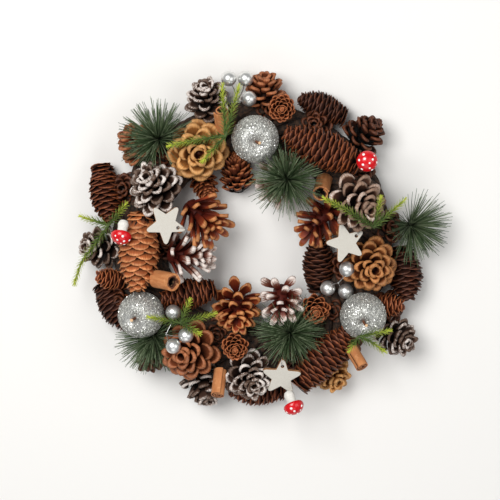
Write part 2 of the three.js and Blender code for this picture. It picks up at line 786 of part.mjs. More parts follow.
function addApples() {
  for (const apple of APPLES) {
    const turn = turnTo(facing(apple.angle, apple.lift));
    const seat = lay(moved(appleSolid(), new THREE.Vector3(), turn), apple.at, true);
    keep(apple.name, seat.solid, seat.offset, turn, GLITTER);
  }
}

function addBarks() {
  for (const bark of BARKS) {
    const turn = turnTo(facing(bark.angle, bark.lift));
    const seat = lay(moved(barkSolid(bark), new THREE.Vector3(), turn), bark.at);
    keep(bark.name, seat.solid, seat.offset, turn, BARK);
  }
}

// A star's face looks along its facing, and its holed tip points to the given angle of the front
function addStars() {
  for (const star of STARS) {
    const face = facing(star.angle, star.lift);
    const tip = facing(star.tip, 0);
    tip.addScaledVector(face, -tip.dot(face)).normalize();
    const side = face.clone().cross(tip);
    const turn = new THREE.Quaternion().setFromRotationMatrix(new THREE.Matrix4().makeBasis(tip, side, face));
    const seat = lay(moved(starSolid(), new THREE.Vector3(), turn), star.at);
    keep(star.name, seat.solid, seat.offset, turn, STAR_WHITE);
  }
}

// Cap and stalk are laid as one, with the cap where it is seen
function addToadstools() {
  for (const toadstool of TOADSTOOLS) {
    const turn = turnTo(facing(toadstool.angle, toadstool.lift));
    const cap = moved(capSolid(), new THREE.Vector3(), turn);
    const stalk = moved(stalkSolid(), new THREE.Vector3(), turn);
    const seat = lay(cap.add(stalk), toadstool.at);
    keep(toadstool.name + "_cap", cap.translate(seat.offset.toArray()), seat.offset, turn, CAP_RED);
    keep(toadstool.name + "_stalk", stalk.translate(seat.offset.toArray()), seat.offset, turn, STALK_WHITE);
  }
}

// Three pearls on wires that meet at a root. They lie where they find a seat and the root stands clear of the
// rest, or they stand at a level of their own and the root is a twist of wire whose foot finds a seat.
function addSprays() {
  const ball = solidOf(new THREE.IcosahedronGeometry(PEARL_RADIUS, 1));
  const knot = solidOf(new THREE.IcosahedronGeometry(KNOT_RADIUS));
  for (const spray of SPRAYS) {
    const stands = spray.level !== undefined;
    const seats = spray.pearls.map((spot) => (stands ? lowered(ball, spot, spray.level) : lay(ball, spot)));
    let whole = null;
    let root = null;
    for (let nearer = 3; nearer < MOST_LIFT; nearer += 3) {
      const twig = stands ? twigFrom({ at: spray.root, raise: nearer }, KNOT_RADIUS) : null;
      root = stands ? twig.joint : seenAt(spray.root, nearer);
      const wires = seats.map((seat) => wireSolid([seat.offset, root], WIRE_RADIUS));
      whole = joined([stands ? twig.solid : moved(knot, root), ...wires]);
      if (clearance(whole) >= SEAT_GAP * 0.9) {
        break;
      }
    }
    const all = joined([whole, ...seats.map((seat) => seat.solid)]);
    keep(spray.name, all, root, new THREE.Quaternion(), PEARL);
  }
}

// Where greenery springs from: its twig's foot finds a seat among the rest, and the joint stands above it, or
// aside by reach. It rises further while the twig or the ball at its joint would touch something.
function twigFrom({ at, reach = [0, 0], raise }, ballRadius) {
  const foot = lay(solidOf(new THREE.IcosahedronGeometry(TWIG_FOOT, 0)), at);
  const ball = solidOf(new THREE.IcosahedronGeometry(ballRadius, 1));
  for (let more = 0; more < MOST_LIFT; more += 2) {
    const joint = foot.offset.clone().addScaledVector(TOWARD, raise + more);
    joint.addScaledVector(RIGHT, reach[0]).addScaledVector(UP, reach[1]);
    const twig = foot.solid.add(wireSolid([foot.offset, joint], TWIG_RADIUS, TWIG_SIDES));
    if (Math.min(clearance(twig), clearance(moved(ball, joint))) >= SEAT_GAP * 0.9) {
      return { joint, solid: twig };
    }
  }
  throw new Error("no room for a twig at " + at);
}

// A finger that rises from its joint just enough to clear the rest, or null where it can't
function fingerFrom(joint, finger) {
  const level = joint.clone().sub(AIM).dot(TOWARD);
  const count = finger.path.length;
  for (let lift = 0; lift <= MOST_BEND; lift += 2) {
    const points = finger.path.map((spot, k) => {
      const share = (k + 1) / count;
      return seenAt(spot, level + (finger.rise + lift) * share);
    });
    const solid = fingerSolid([joint, ...points]);
    if (clearance(solid) >= SEAT_GAP) {
      return solid;
    }
  }
  return null;
}

// The joint stands higher until every finger of the sprig finds its way
function addSprigs() {
  for (const sprig of SPRIGS) {
    let twig = null;
    let fingers = [null];
    for (let more = 0; more < MOST_LIFT && fingers.includes(null); more += 3) {
      twig = twigFrom({ ...sprig, raise: sprig.raise + more }, TWIG_FOOT);
      fingers = sprig.fingers.map((finger) => fingerFrom(twig.joint, finger));
    }
    keep(sprig.name, joined([twig.solid, ...fingers]), twig.joint, new THREE.Quaternion(), FIR_GREEN);
  }
}

function addTufts() {
  for (const tuft of TUFTS) {
    const twig = twigFrom(tuft, TUFT_CORE);
    const centre = twig.joint;
    const lean = facing(tuft.angle, tuft.lift);
    const limit = Math.cos(THREE.MathUtils.degToRad(tuft.spread));
    const needleTip = (corners) => {
      const middle = new THREE.Vector3();
      corners.forEach((corner) => middle.add(new THREE.Vector3(...corner)));
      middle.divideScalar(3);
      const way = middle.clone().sub(centre).normalize();
      const length = LONGEST_NEEDLE * (0.86 + 0.14 * draw());
      if (way.dot(lean) < limit || draw() < 0.25) {
        return null;
      }
      for (let reach = length; reach > SHORTEST_NEEDLE; reach *= 0.85) {
        const tip = centre.clone().addScaledVector(way, TUFT_CORE + reach).toArray();
        const needle = solidFrom([...corners, tip], [[0, 2, 1], [0, 1, 3], [1, 2, 3], [2, 0, 3]]);
        if (clearance(needle) >= SEAT_GAP && tip[2] > LOWEST) {
          return tip;
        }
      }
      return null;
    };
    const whole = tuftSolid(centre, needleTip).add(twig.solid);
    keep(tuft.name, whole, centre, new THREE.Quaternion(), NEEDLE_GREEN);
  }
}

addRing();
addCones();
addApples();
addBarks();
addStars();
addToadstools();
addSprays();
addSprigs();
addTufts();

// The origin is under the middle of the whole wreath
const bounds = new THREE.Box3().setFromObject(wreath, true);
const middle = bounds.getCenter(new THREE.Vector3());
wreath.position.set(-middle.x, -middle.y, -bounds.min.z);

const group = new THREE.Group();
group.add(wreath);

export default group;
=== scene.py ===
# %% [markdown]
# A wreath of cones, glittered apples, toadstools, wooden stars, pearls and greenery, wired to a ring of
# vine. It lies on its back on a pale floor, and the camera looks down on it. Every piece is placed from the
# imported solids, which stay as they are, and is modelled again here with the detail that the real one has.

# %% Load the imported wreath
import math
import random
from collections import namedtuple

import bmesh
import bpy
from mathutils import Matrix, Vector


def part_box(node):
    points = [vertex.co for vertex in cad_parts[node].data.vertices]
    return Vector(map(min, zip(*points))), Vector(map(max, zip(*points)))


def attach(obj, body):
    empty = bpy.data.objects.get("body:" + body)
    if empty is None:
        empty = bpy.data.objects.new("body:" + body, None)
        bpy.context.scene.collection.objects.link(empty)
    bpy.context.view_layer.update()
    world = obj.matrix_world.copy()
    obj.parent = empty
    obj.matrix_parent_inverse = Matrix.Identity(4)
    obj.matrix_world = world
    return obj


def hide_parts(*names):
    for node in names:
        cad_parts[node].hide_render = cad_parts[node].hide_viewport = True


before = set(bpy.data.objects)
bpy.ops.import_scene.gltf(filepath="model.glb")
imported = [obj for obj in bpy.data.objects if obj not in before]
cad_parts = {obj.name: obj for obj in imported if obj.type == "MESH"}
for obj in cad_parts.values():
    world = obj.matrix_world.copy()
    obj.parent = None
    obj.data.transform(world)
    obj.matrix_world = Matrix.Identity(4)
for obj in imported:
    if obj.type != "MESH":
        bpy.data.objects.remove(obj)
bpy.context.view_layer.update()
print("packed wreath:", len(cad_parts), "nodes")

# %% [markdown]
# The front of the wreath was laid out as the camera sees it, from a little above its own axis. So two small
# functions turn a place as seen, in millimetres right and up of the middle, into a place in the wreath.

# %% The view that everything is laid out in
MM = 0.001
VIEW_TILT = math.radians(11)
VIEW_DISTANCE = 1.5
VIEW_HEIGHT = 0.04
RIGHT = Vector((1, 0, 0))
UP = Vector((0, math.cos(VIEW_TILT), -math.sin(VIEW_TILT)))
TOWARD = Vector((0, math.sin(VIEW_TILT), math.cos(VIEW_TILT)))

ring_low, ring_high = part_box("vine_ring")
ring_middle = (ring_low + ring_high) / 2
AIM = Vector((ring_middle.x, ring_middle.y, VIEW_HEIGHT))
EYE = AIM + TOWARD * VIEW_DISTANCE


def seen_at(spot, nearer=0.0):
    """The point that is seen at the spot and lies nearer the camera by so many metres."""
    point = AIM + RIGHT * spot[0] * MM + UP * spot[1] * MM
    return point + (EYE - point).normalized() * nearer


def facing(angle, lift):
    """A direction of the front: angle from the right, lift towards the camera, in degrees."""
    a = math.radians(angle)
    b = math.radians(lift)
    flat = RIGHT * math.cos(a) + UP * math.sin(a)
    return flat * math.cos(b) + TOWARD * math.sin(b)


def turn_to(direction):
    """The rotation that brings local Z onto the direction."""
    return Vector((0, 0, 1)).rotation_difference(direction)


print("ring middle:", [round(c, 4) for c in ring_middle])

# %% Camera
SENSOR = 36.0
FRAME_WIDTH = 0.475  # metres that the picture spans at the middle of the wreath
LOOK_AT = (-1.9, -4.75)  # the middle of the picture, as seen

camera_data = bpy.data.cameras.new("camera")
camera_data.sensor_width = SENSOR
camera_data.lens = SENSOR * VIEW_DISTANCE / FRAME_WIDTH
camera = bpy.data.objects.new("camera", camera_data)
bpy.context.scene.collection.objects.link(camera)
backward = (EYE - seen_at(LOOK_AT)).normalized()
sideways = UP.cross(backward).normalized()
camera.matrix_world = Matrix((sideways, backward.cross(sideways), backward)).transposed().to_4x4()
camera.location = EYE
bpy.context.scene.camera = camera
print("lens", round(camera_data.lens, 1), "mm")

# %% [markdown]
# A wreath repeats a few shapes many times: scales, needles, flakes. Each is modelled once as a small
# pattern mesh, and copies of it are stamped into a piece. Three marks travel with every vertex, and the
# materials read them: tip runs from a scale's root to its edge, across from side to side, and tone is one
# number for a copy.

# %% Patterns and stamps
MARKS = ("tip", "across", "tone")
draw = random.Random(11)


def new_bmesh():
    bm = bmesh.new()
    for mark in MARKS:
        bm.verts.layers.float.new(mark)
    return bm


def mark(bm, name, value_of):
    layer = bm.verts.layers.float[name]
    for vert in bm.verts:
        vert[layer] = value_of(vert.co)


def smooth(bm):
    for face in bm.faces:
        face.smooth = True


def mesh_of(bm, name):
    mesh = bpy.data.meshes.new(name)
    bm.to_mesh(mesh)
    bm.free()
    return mesh


def pattern_from(bm, name):
    """Keeps a bmesh as a pattern mesh with smooth faces."""
    smooth(bm)
    return mesh_of(bm, name)


def stamp(bm, pattern, matrix, **marks):
    """Adds a copy of the pattern to the bmesh, and gives its vertices the marks."""
    first = len(bm.verts)
    bm.from_mesh(pattern)
    bm.verts.ensure_lookup_table()
    fresh = bm.verts[first:]
    bmesh.ops.transform(bm, matrix=matrix, verts=fresh)
    for name, value in marks.items():
        layer = bm.verts.layers.float[name]
        for vert in fresh:
            vert[layer] = value
    return fresh


def basis(origin, across, along, out):
    """The matrix that takes local X, Y and Z to the three vectors, whose lengths are the scale."""
    matrix = Matrix((across, along, out)).transposed().to_4x4()
    matrix.translation = origin
    return matrix


def placed(axis, origin):
    """The matrix that stands what was made round local Z on the origin, along the axis."""
    matrix = turn_to(axis).to_matrix().to_4x4()
    matrix.translation = origin
    return matrix


def add_piece(name, bm, materials, slot, nodes=(), sharp=None):
    """Makes the bmesh a piece of the wreath that stands for the named nodes."""
    mesh = mesh_of(bm, name)
    if sharp:
        mesh.set_sharp_from_angle(angle=math.radians(sharp))
    for material in materials:
        mesh.materials.append(material)
    piece = bpy.data.objects.new(name, mesh)
    bpy.context.scene.collection.objects.link(piece)
    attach(piece, "root")
    if nodes:
        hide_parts(*nodes)

# %% [markdown]
# To find where a solid lies, its own mesh is read. A cone, an apple and a cap all have a pole: a vertex
# whose neighbours stand evenly round the axis. A ball is found by moving a guess until the vertices lie on
# its radius.

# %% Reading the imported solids
POLE_NEIGHBOURS = 5
SAME = 2e-5  # metres, below which two heights or lengths count as the same
ROUNDS = 60  # of moving the guess of a ball's middle
STRIDE = 1.5  # how boldly the guess moves
NEAR = 0.6  # radii: vertices that lie further off the ball than this don't pull


def merged_node(name):
    """A copy of the node's mesh whose triangles share their corners."""
    bm = bmesh.new()
    bm.from_mesh(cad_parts[name].data)
    bmesh.ops.remove_doubles(bm, verts=bm.verts, dist=1e-6)
    return bm


def node_points(name):
    bm = merged_node(name)
    points = [vert.co.copy() for vert in bm.verts]
    bm.free()
    return points


def poles(name, axis):
    """The node's poles round the axis, each with how high its neighbours lie above it."""
    bm = merged_node(name)
    found = []
    for vert in bm.verts:
        arms = [edge.other_vert(vert).co - vert.co for edge in vert.link_edges]
        heights = [arm.dot(axis) for arm in arms]
        lengths = [arm.length for arm in arms]
        even = max(heights) - min(heights) < SAME and max(lengths) - min(lengths) < SAME
        if len(arms) >= POLE_NEIGHBOURS and even:
            found.append((vert.co.copy(), heights[0]))
    bm.free()
    return found


def far_pole(name, way):
    """The node's pole that lies furthest along the way."""
    return max((pole for pole, _ in poles(name, way)), key=lambda pole: pole.dot(way))


def aside(point, spot):
    """How far the point is from the line of sight through the spot."""
    sight = (seen_at(spot) - EYE).normalized()
    off = point - EYE
    return (off - sight * off.dot(sight)).length


def ball_centre(points, radius, start):
    """Moves the start until the points near it lie a radius off."""
    centre = start.copy()
    for _ in range(ROUNDS):
        pull = Vector()
        count = 0
        for point in points:
            arm = point - centre
            gap = arm.length - radius
            if abs(gap) < radius * NEAR:
                pull += arm.normalized() * gap
                count += 1
        centre += pull * (STRIDE / max(count, 1))
    return centre


def local_box(name, turn):
    """The node's lowest and highest corners in a frame that is turned so."""
    back = turn.inverted()
    corners = [back @ vert.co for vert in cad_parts[name].data.vertices]
    low = Vector([min(corner[k] for corner in corners) for k in range(3)])
    high = Vector([max(corner[k] for corner in corners) for k in range(3)])
    return low, high

# %% [markdown]
# Materials are small node graphs. One helper adds a node and wires its inputs, so that a graph reads from
# top to bottom. Colours are given as they look on a screen, from 0 to 255, and turned to linear values.

# %% Material helpers
def paint(red, green, blue):
    linear = []
    for value in (red, green, blue):
        part = value / 255
        linear.append(part / 12.92 if part <= 0.04045 else ((part + 0.055) / 1.055) ** 2.4)
    return (*linear, 1.0)


def fill(tree, node, inputs):
    """Links or sets a node's inputs, given by name or number."""
    for key, value in inputs.items():
        if isinstance(value, bpy.types.NodeSocket):
            tree.links.new(value, node.inputs[key])
        else:
            node.inputs[key].default_value = value


def add(tree, kind, inputs, **settings):
    """Adds a node, sets it and fills its inputs."""
    made = tree.nodes.new("ShaderNode" + kind)
    for key, value in settings.items():
        setattr(made, key, value)
    fill(tree, made, inputs)
    return made


def mixed(tree, factor, first, second, blend="MIX"):
    node = add(tree, "Mix", {0: factor, 6: first, 7: second}, data_type="RGBA", blend_type=blend)
    return node.outputs[2]


def ramped(tree, value, low, high, start=0.0, end=1.0):
    """Takes low..high smoothly to start..end."""
    inputs = {"Value": value, "From Min": low, "From Max": high, "To Min": start, "To Max": end}
    return add(tree, "MapRange", inputs, interpolation_type="SMOOTHSTEP").outputs[0]


def reckoned(tree, operation, first, second):
    return add(tree, "Math", {0: first, 1: second}, operation=operation).outputs[0]


def joined(tree, x, y, z):
    return add(tree, "CombineXYZ", {0: x, 1: y, 2: z}).outputs[0]


def marked(tree, name):
    return add(tree, "Attribute", {}, attribute_name=name).outputs["Fac"]


def noise(tree, scale, detail=3.0, vector=None):
    where = vector or add(tree, "TexCoord", {}).outputs["Object"]
    return add(tree, "TexNoise", {"Vector": where, "Scale": scale, "Detail": detail}).outputs["Fac"]


def new_material(name):
    material = bpy.data.materials.new(name)
    material.use_nodes = True
    tree = material.node_tree
    return material, tree, tree.nodes["Principled BSDF"]


def bump(tree, shader, height, strength, distance):
    node = add(tree, "Bump", {"Height": height, "Strength": strength, "Distance": distance})
    fill(tree, shader, {"Normal": node.outputs[0]})

# %% [markdown]
# A cone's scale is dry wood, warmer along its face. Where it grows from the core it is painted dark, which
# is painted shade for the part that lies under the next scale. Along its edge it is paler, partly worn wood
# and partly a painted highlight. Fine streaks run from root to edge. The frosted cones had white paint
# brushed over their edges only.

# %% Cone finishes
# The pairs say where along a scale the lit body colour comes in over the painted shade of the root, and
# where the paler rim comes in, which is partly worn wood and partly a painted highlight. Frost is a pair
# too, or none, and streaky says how far the frost follows the streaks.
Wood = namedtuple("Wood", "root body rim lit worn share frost streaky", defaults=(None, 0.0))
FROST = paint(226, 216, 208)
WOODS = {
    "spruce": Wood((22, 8, 4), (174, 95, 50), (220, 150, 96), (0.46, 0.84), (0.82, 0.98), 0.75),
    "russet": Wood((11, 4, 2), (70, 29, 13), (142, 75, 36), (0.5, 0.8), (0.84, 0.97), 0.85),
    # the dark finish, for cones that lie low in the ring, is partly their own darker brown and partly
    # painted shade
    "dark": Wood((10, 4, 2), (50, 20, 9), (106, 56, 29), (0.45, 0.75), (0.84, 0.97), 0.75),
    "larch": Wood((20, 8, 4), (104, 46, 22), (190, 112, 66), (0.35, 0.8), (0.84, 0.97), 0.85),
    "tan": Wood((76, 32, 12), (170, 110, 54), (214, 160, 98), (0.2, 0.8), (0.78, 1.0), 0.85),
    "honey": Wood((60, 22, 9), (136, 75, 36), (194, 132, 76), (0.3, 0.9), (0.78, 1.0), 0.85),
    "amber": Wood((84, 22, 8), (144, 61, 27), (200, 136, 82), (0.25, 0.9), (0.84, 1.0), 0.85),
    "brown": Wood((46, 17, 8), (126, 66, 37), (176, 110, 70), (0.15, 0.75), (0.84, 1.0), 0.8),
    "frost": Wood((24, 14, 10), (72, 49, 38), (116, 90, 73), (0.2, 0.7), (0.8, 1.0), 0.85, (0.96, 1.1)),
    "dusty": Wood((28, 17, 13), (94, 62, 47), (168, 136, 114), (0.3, 0.8), (0.84, 1.0), 0.85, (1.04, 1.24)),
    "pink": Wood((84, 22, 10), (140, 84, 64), (206, 174, 156), (0.2, 0.8), (0.6, 1.0), 0.8, (0.7, 1.0), 1.6),
}


def off_middle(tree, value, weight):
    return reckoned(tree, "MULTIPLY", reckoned(tree, "SUBTRACT", value, 0.5), weight)


def cone_finish(name, wood):
    material, tree, shader = new_material(name)
    root, body, rim = (paint(*shade) for shade in wood[:3])
    tip = marked(tree, "tip")
    tone = marked(tree, "tone")
    lane = reckoned(tree, "MULTIPLY", marked(tree, "across"), 9.0)
    shift = reckoned(tree, "MULTIPLY", tone, 40.0)
    streak_place = joined(tree, lane, tip, shift)
    streak = noise(tree, 1.6, 3.0, streak_place)
    speck = noise(tree, 1300.0)
    worn = reckoned(tree, "ADD", tip, off_middle(tree, streak, 0.2))
    # painted shade: the root colour is dark where the scale lies under the next one, and the lit body colour
    # comes in towards the edge
    color = mixed(tree, ramped(tree, tip, *wood.lit), root, body)
    # the paler rim is partly worn wood and partly a painted highlight on the edge
    color = mixed(tree, ramped(tree, worn, *wood.worn, 0.0, wood.share), color, rim)
    color = mixed(tree, ramped(tree, streak, 0.3, 0.7, 0.34, 0.0), color, root)
    lighter = ramped(tree, tone, 0.0, 1.0, 0.8, 1.18)
    grey = joined(tree, lighter, lighter, lighter)
    color = mixed(tree, 1.0, color, grey, "MULTIPLY")
    if wood.frost:
        patchy = worn
        for mottle, weight in ((speck, 0.6), (tone, 0.24), (streak, wood.streaky)):
            patchy = reckoned(tree, "ADD", patchy, off_middle(tree, mottle, weight))
        color = mixed(tree, ramped(tree, patchy, *wood.frost, 0.0, 0.92), color, FROST)
    rough = ramped(tree, speck, 0.3, 0.7, 0.46, 0.66)
    fill(tree, shader, {"Base Color": color, "Roughness": rough, "Specular IOR Level": 0.35})
    relief = reckoned(tree, "ADD", streak, reckoned(tree, "MULTIPLY", speck, 0.4))
    bump(tree, shader, relief, 0.35, 0.0005)
    return material


FINISHES = {name: cone_finish(name + " scales", wood) for name, wood in WOODS.items()}
print(len(FINISHES), "cone finishes")

# %% [markdown]
# A scale starts as a flat grid that is pulled into a petal: narrow at the root, round at the edge, a little
# cupped and turned up at its end. Solidify gives it its woody thickness. A pine cone's scale is thick at
# the edge. A spruce cone's is broad and thin and follows the round of the cone.

# %% The four scale patterns
def scale_pattern(name, root_width, cup, turn_up, thickness, lip, roundness):
    """A scale of length and width 1 that grows from the origin along Y, and faces Z."""
    bm = new_bmesh()
    tip = bm.verts.layers.float["tip"]
    bmesh.ops.create_grid(bm, x_segments=6, y_segments=5, size=0.5)
    for vert in bm.verts:
        u = vert.co.x * 2
        v = vert.co.y + 0.5
        spread = root_width + (1 - root_width) * math.sin(math.pi / 2 * min(1.0, v / 0.75))
        bend = u * math.pi / 2
        vert[tip] = v
        vert.co.x = math.sin(bend) * 0.5 * spread
        vert.co.y = v - roundness * v**3 * (1 - math.cos(bend))
        vert.co.z = cup * (2 * vert.co.x) ** 2 * v + turn_up * v**3
    mark(bm, "across", lambda co: co.x)
    bmesh.ops.recalc_face_normals(bm, faces=bm.faces)
    if bm.faces[:][0].normal.z < 0:
        bmesh.ops.reverse_faces(bm, faces=bm.faces)
    top = set(bm.verts)
    bmesh.ops.solidify(bm, geom=bm.faces[:], thickness=thickness)
    for vert in bm.verts:
        if vert not in top:
            vert.co.z -= lip * max(0.0, vert.co.y - 0.5)
    bmesh.ops.recalc_face_normals(bm, faces=bm.faces)
    print(name, len(bm.verts), "vertices", len(bm.faces), "faces")
    return pattern_from(bm, name)


PETAL = scale_pattern("petal", 0.35, 0.1, 0.1, 0.1, 0.14, 0.4)
SHINGLE = scale_pattern("shingle", 0.5, -0.24, 0.03, 0.06, 0.0, 0.46)
RUFFLE = scale_pattern("ruffle", 0.5, 0.12, 0.2, 0.05, 0.02, 0.4)
FINGER = scale_pattern("finger", 0.5, 0.06, -0.06, 0.13, 0.12, 0.2)

# %% [markdown]
# The wreath's cones as seen, low ones first: node, shape, place, pose, size and finish. The place is that
# of the cone's middle, in millimetres right and up. The pose is the angle that its tip points to and how
# far it lifts towards the camera. The size is its length and width, and then how many scales it has.

# %% Cone table
Cone = namedtuple("Cone", "node shape at pose size scales look slot")
CONES = [Cone(*row) for row in (
    ("cone_rim_left", "open", (-154, -2), (180, 50), (34, 42), 34, "frost", "frosted_cone"),
    ("cone_rim_upper_left", "gaping", (-137, 47), (-80, 10), (56, 38), 84, "russet", "spruce_cone"),
    ("cone_rim_top_left", "open", (-108, 96), (135, 40), (36, 44), 34, "brown", "brown_cone"),
    ("cone_rim_top_frosted", "open", (-43, 133), (100, 55), (36, 43), 36, "frost", "frosted_cone"),
    ("cones_rim_top", "open", (12, 147), (90, 40), (36, 43), 34, "brown", "brown_cone"),
    ("cones_rim_top", "rose", (26, 130), (-90, 80), (22, 28), 46, "larch", "brown_cone"),
    ("cones_rim_top_right", "gaping", (65, 129), (157, 5), (48, 34), 78, "dark", "dark_cone"),
    ("cones_rim_top_right", "open", (110, 108), (45, 40), (36, 43), 34, "dark", "dark_cone"),
    ("cones_rim_right", "gaping", (154, -29), (-83, 5), (52, 42), 80, "dark", "dark_cone"),
    ("cones_rim_right", "gaping", (133, -53), (-2, 15), (28, 27), 40, "larch", "dark_cone"),
    ("cones_rim_right", "open", (138, -84), (-30, 50), (34, 42), 34, "frost", "dark_cone"),
    ("cone_rim_bottom_right", "open", (84, -136), (-55, 50), (34, 42), 34, "tan", "tan_cone"),
    ("cones_rim_bottom", "gaping", (5, -151), (180, 5), (56, 38), 88, "russet", "spruce_cone"),
    ("cones_rim_bottom", "rose", (50, -150), (-60, 60), (20, 21), 28, "larch", "spruce_cone"),
    ("cone_rim_bottom_left", "open", (-49, -148), (-72, 30), (36, 45), 36, "frost", "frosted_cone"),
    ("cone_rim_lower_left", "open", (-104, -116), (-130, 35), (36, 42), 34, "dark", "dark_cone"),
    ("cones_rim_lower_left", "gaping", (-141, -64), (-58, 5), (52, 40), 80, "dark", "dark_cone"),
    ("cones_rim_lower_left", "gaping", (-139, -37), (166, 20), (26, 25), 40, "larch", "dark_cone"),
    ("cones_hole_top", "flared", (-13, 63), (96, 40), (44, 36), 84, "larch", "tan_cone"),
    ("cones_hole_top", "flared", (-36, 46), (-66, 45), (34, 29), 76, "larch", "tan_cone"),
    ("cone_hole_top_right", "finger", (25, 61), (-90, 50), (38, 48), 26, "pink", "frosted_cone"),
    ("cone_hole_right", "finger", (64, 23), (225, 30), (44, 48), 28, "amber", "tan_cone"),
    ("cones_hole_lower_right", "gaping", (65, -25), (90, 10), (52, 37), 80, "dark", "dark_cone"),
    ("cones_hole_lower_right", "rose", (60, -61), (-90, 75), (24, 31), 50, "larch", "dark_cone"),
    ("cone_hole_bottom_frosted", "finger", (28, -54), (-90, 50), (38, 46), 24, "pink", "frosted_cone"),
    ("cone_hole_bottom", "spread", (-12, -67), (-90, 55), (42, 52), 34, "amber", "brown_cone"),
    ("cone_hole_lower_left", "gaping", (-55, -48), (190, 5), (52, 36), 78, "russet", "spruce_cone"),
    ("cones_hole_left", "half", (-60, -10), (0, 35), (44, 49), 30, "pink", "tan_cone"),
    ("cones_hole_left", "half", (-49, 31), (-45, 30), (44, 50), 30, "amber", "tan_cone"),
    ("cone_left", "closed", (-106, -8), (-93, 0), (76, 46), 96, "spruce", "spruce_cone"),
    ("cone_frosted_left", "open", (-95, 55), (128, 60), (42, 52), 48, "frost", "frosted_cone"),
    ("cone_top_tan", "open", (-53, 87), (-60, 80), (44, 59), 30, "tan", "tan_cone"),
    ("cone_top_right", "gaping", (65, 92), (157, 0), (77, 44), 118, "russet", "spruce_cone"),
    ("cone_frosted_right", "open", (103, 45), (-33, 60), (42, 55), 36, "dusty", "frosted_cone"),
    ("cone_right_tan", "open", (113, -20), (-61, 75), (42, 54), 34, "honey", "tan_cone"),
    ("cone_lower_right", "gaping", (68, -107), (48, 0), (74, 43), 108, "russet", "spruce_cone"),
    ("cones_bottom", "open", (-2, -126), (-61, 65), (40, 50), 40, "frost", "frosted_cone"),
    ("cones_bottom", "rose", (-16, -97), (-90, 80), (24, 28), 46, "larch", "frosted_cone"),
    ("cone_lower_left", "open", (-54, -102), (207, 70), (42, 57), 32, "brown", "brown_cone"),
)]
print(len(CONES), "cones")

# %% [markdown]
# Scales grow one after another round the core, each turned by the golden angle from the last, and that
# alone gives the crossing spirals of a real cone. Every cone gets a core that takes the dark root colour of
# its scales, which is painted shade, so that the gaps between scales look deep.

# %% Growing cones
GOLDEN = math.pi * (3 - math.sqrt(5))
CORE_STEPS = 12


def lathe(bm, profile, steps):
    """Spins a profile of (radius, height) pairs round Z, from pole to pole."""
    line = [bm.verts.new((radius, 0, height)) for radius, height in profile]
    edges = [bm.edges.new(pair) for pair in zip(line, line[1:])]
    turning = dict(cent=(0, 0, 0), axis=(0, 0, 1), angle=2 * math.pi, steps=steps, use_merge=True)
    bmesh.ops.spin(bm, geom=line + edges, **turning)
    bmesh.ops.remove_doubles(bm, verts=bm.verts, dist=1e-6)
    bmesh.ops.recalc_face_normals(bm, faces=bm.faces)


def cone_middle(cone):
    """The cone's middle, found from the pole at its tip or, where that is gone, at its foot."""
    axis = facing(*cone.pose)
    length = cone.size[0] * MM
    from_foot = length * 0.44 + MM if cone.shape in OPEN_KINDS else length / 2
    middles = []
    for pole, rise in poles(cone.node, axis):
        middles.append(pole - axis * length / 2 if rise < -SAME else pole + axis * from_foot)
    return min(middles, key=lambda middle: aside(middle, cone.at))


def add_core(bm, axis, foot, profile):
    core = new_bmesh()
    lathe(core, profile, CORE_STEPS)
    pattern = pattern_from(core, "core")
    stamp(bm, pattern, placed(axis, foot))
    bpy.data.meshes.remove(pattern)


Growth = namedtuple("Growth", "pattern breadth narrowing foot_slope tip_slope fall")
OPEN_KINDS = {
    "open": Growth(PETAL, 3.2, 0.5, 12, 74, 0.84),
    "spread": Growth(PETAL, 2.4, 0.45, 2, 66, 0.6),
    "finger": Growth(FINGER, 1.7, 0.3, 4, 66, 0.5),
    "half": Growth(FINGER, 1.8, 0.3, 36, 76, 0.5),
    "rose": Growth(RUFFLE, 3.7, 0.5, 24, 82, 0.84),
    "flared": Growth(RUFFLE, 3.3, 0.5, 34, 84, 0.8),
}
TILED_KINDS = {
    "closed": Growth(SHINGLE, 1.9, 0.55, 38, 28, 0.6),
    "gaping": Growth(SHINGLE, 2.2, 0.5, 54, 36, 0.44),
}

FLOOR_BOX = (Vector((-1, -1, 0.004)), Vector((1, 1, 1)))  # all that lies well above the floor


def room(start, way, low, high):
    """How far one can go from the start before leaving the box."""
    limits = []
    for k in range(3):
        if abs(way[k]) > 1e-6:
            wall = high[k] if way[k] > 0 else low[k]
            limits.append((wall - start[k]) / way[k])
    return max(0.0, min(limits))


def measured(cone, middle):
    """The cone's axis, length, radius and foot."""
    axis = facing(*cone.pose)
    length, width = (size * MM for size in cone.size)
    return axis, length, width / 2, middle - axis * length / 2


def spokes(cone, axis, stray):
    """For each scale, how far up the cone it grows, and the way that it points from the axis."""
    turn = turn_to(axis)
    first = draw.uniform(0, 6)
    for n in range(cone.scales):
        angle = first + n * GOLDEN + draw.uniform(-stray, stray)
        yield (n + 0.5) / cone.scales, turn @ Vector((math.cos(angle), math.sin(angle), 0))


def slope_at(kind, t):
    return kind.foot_slope + (kind.tip_slope - kind.foot_slope) * t


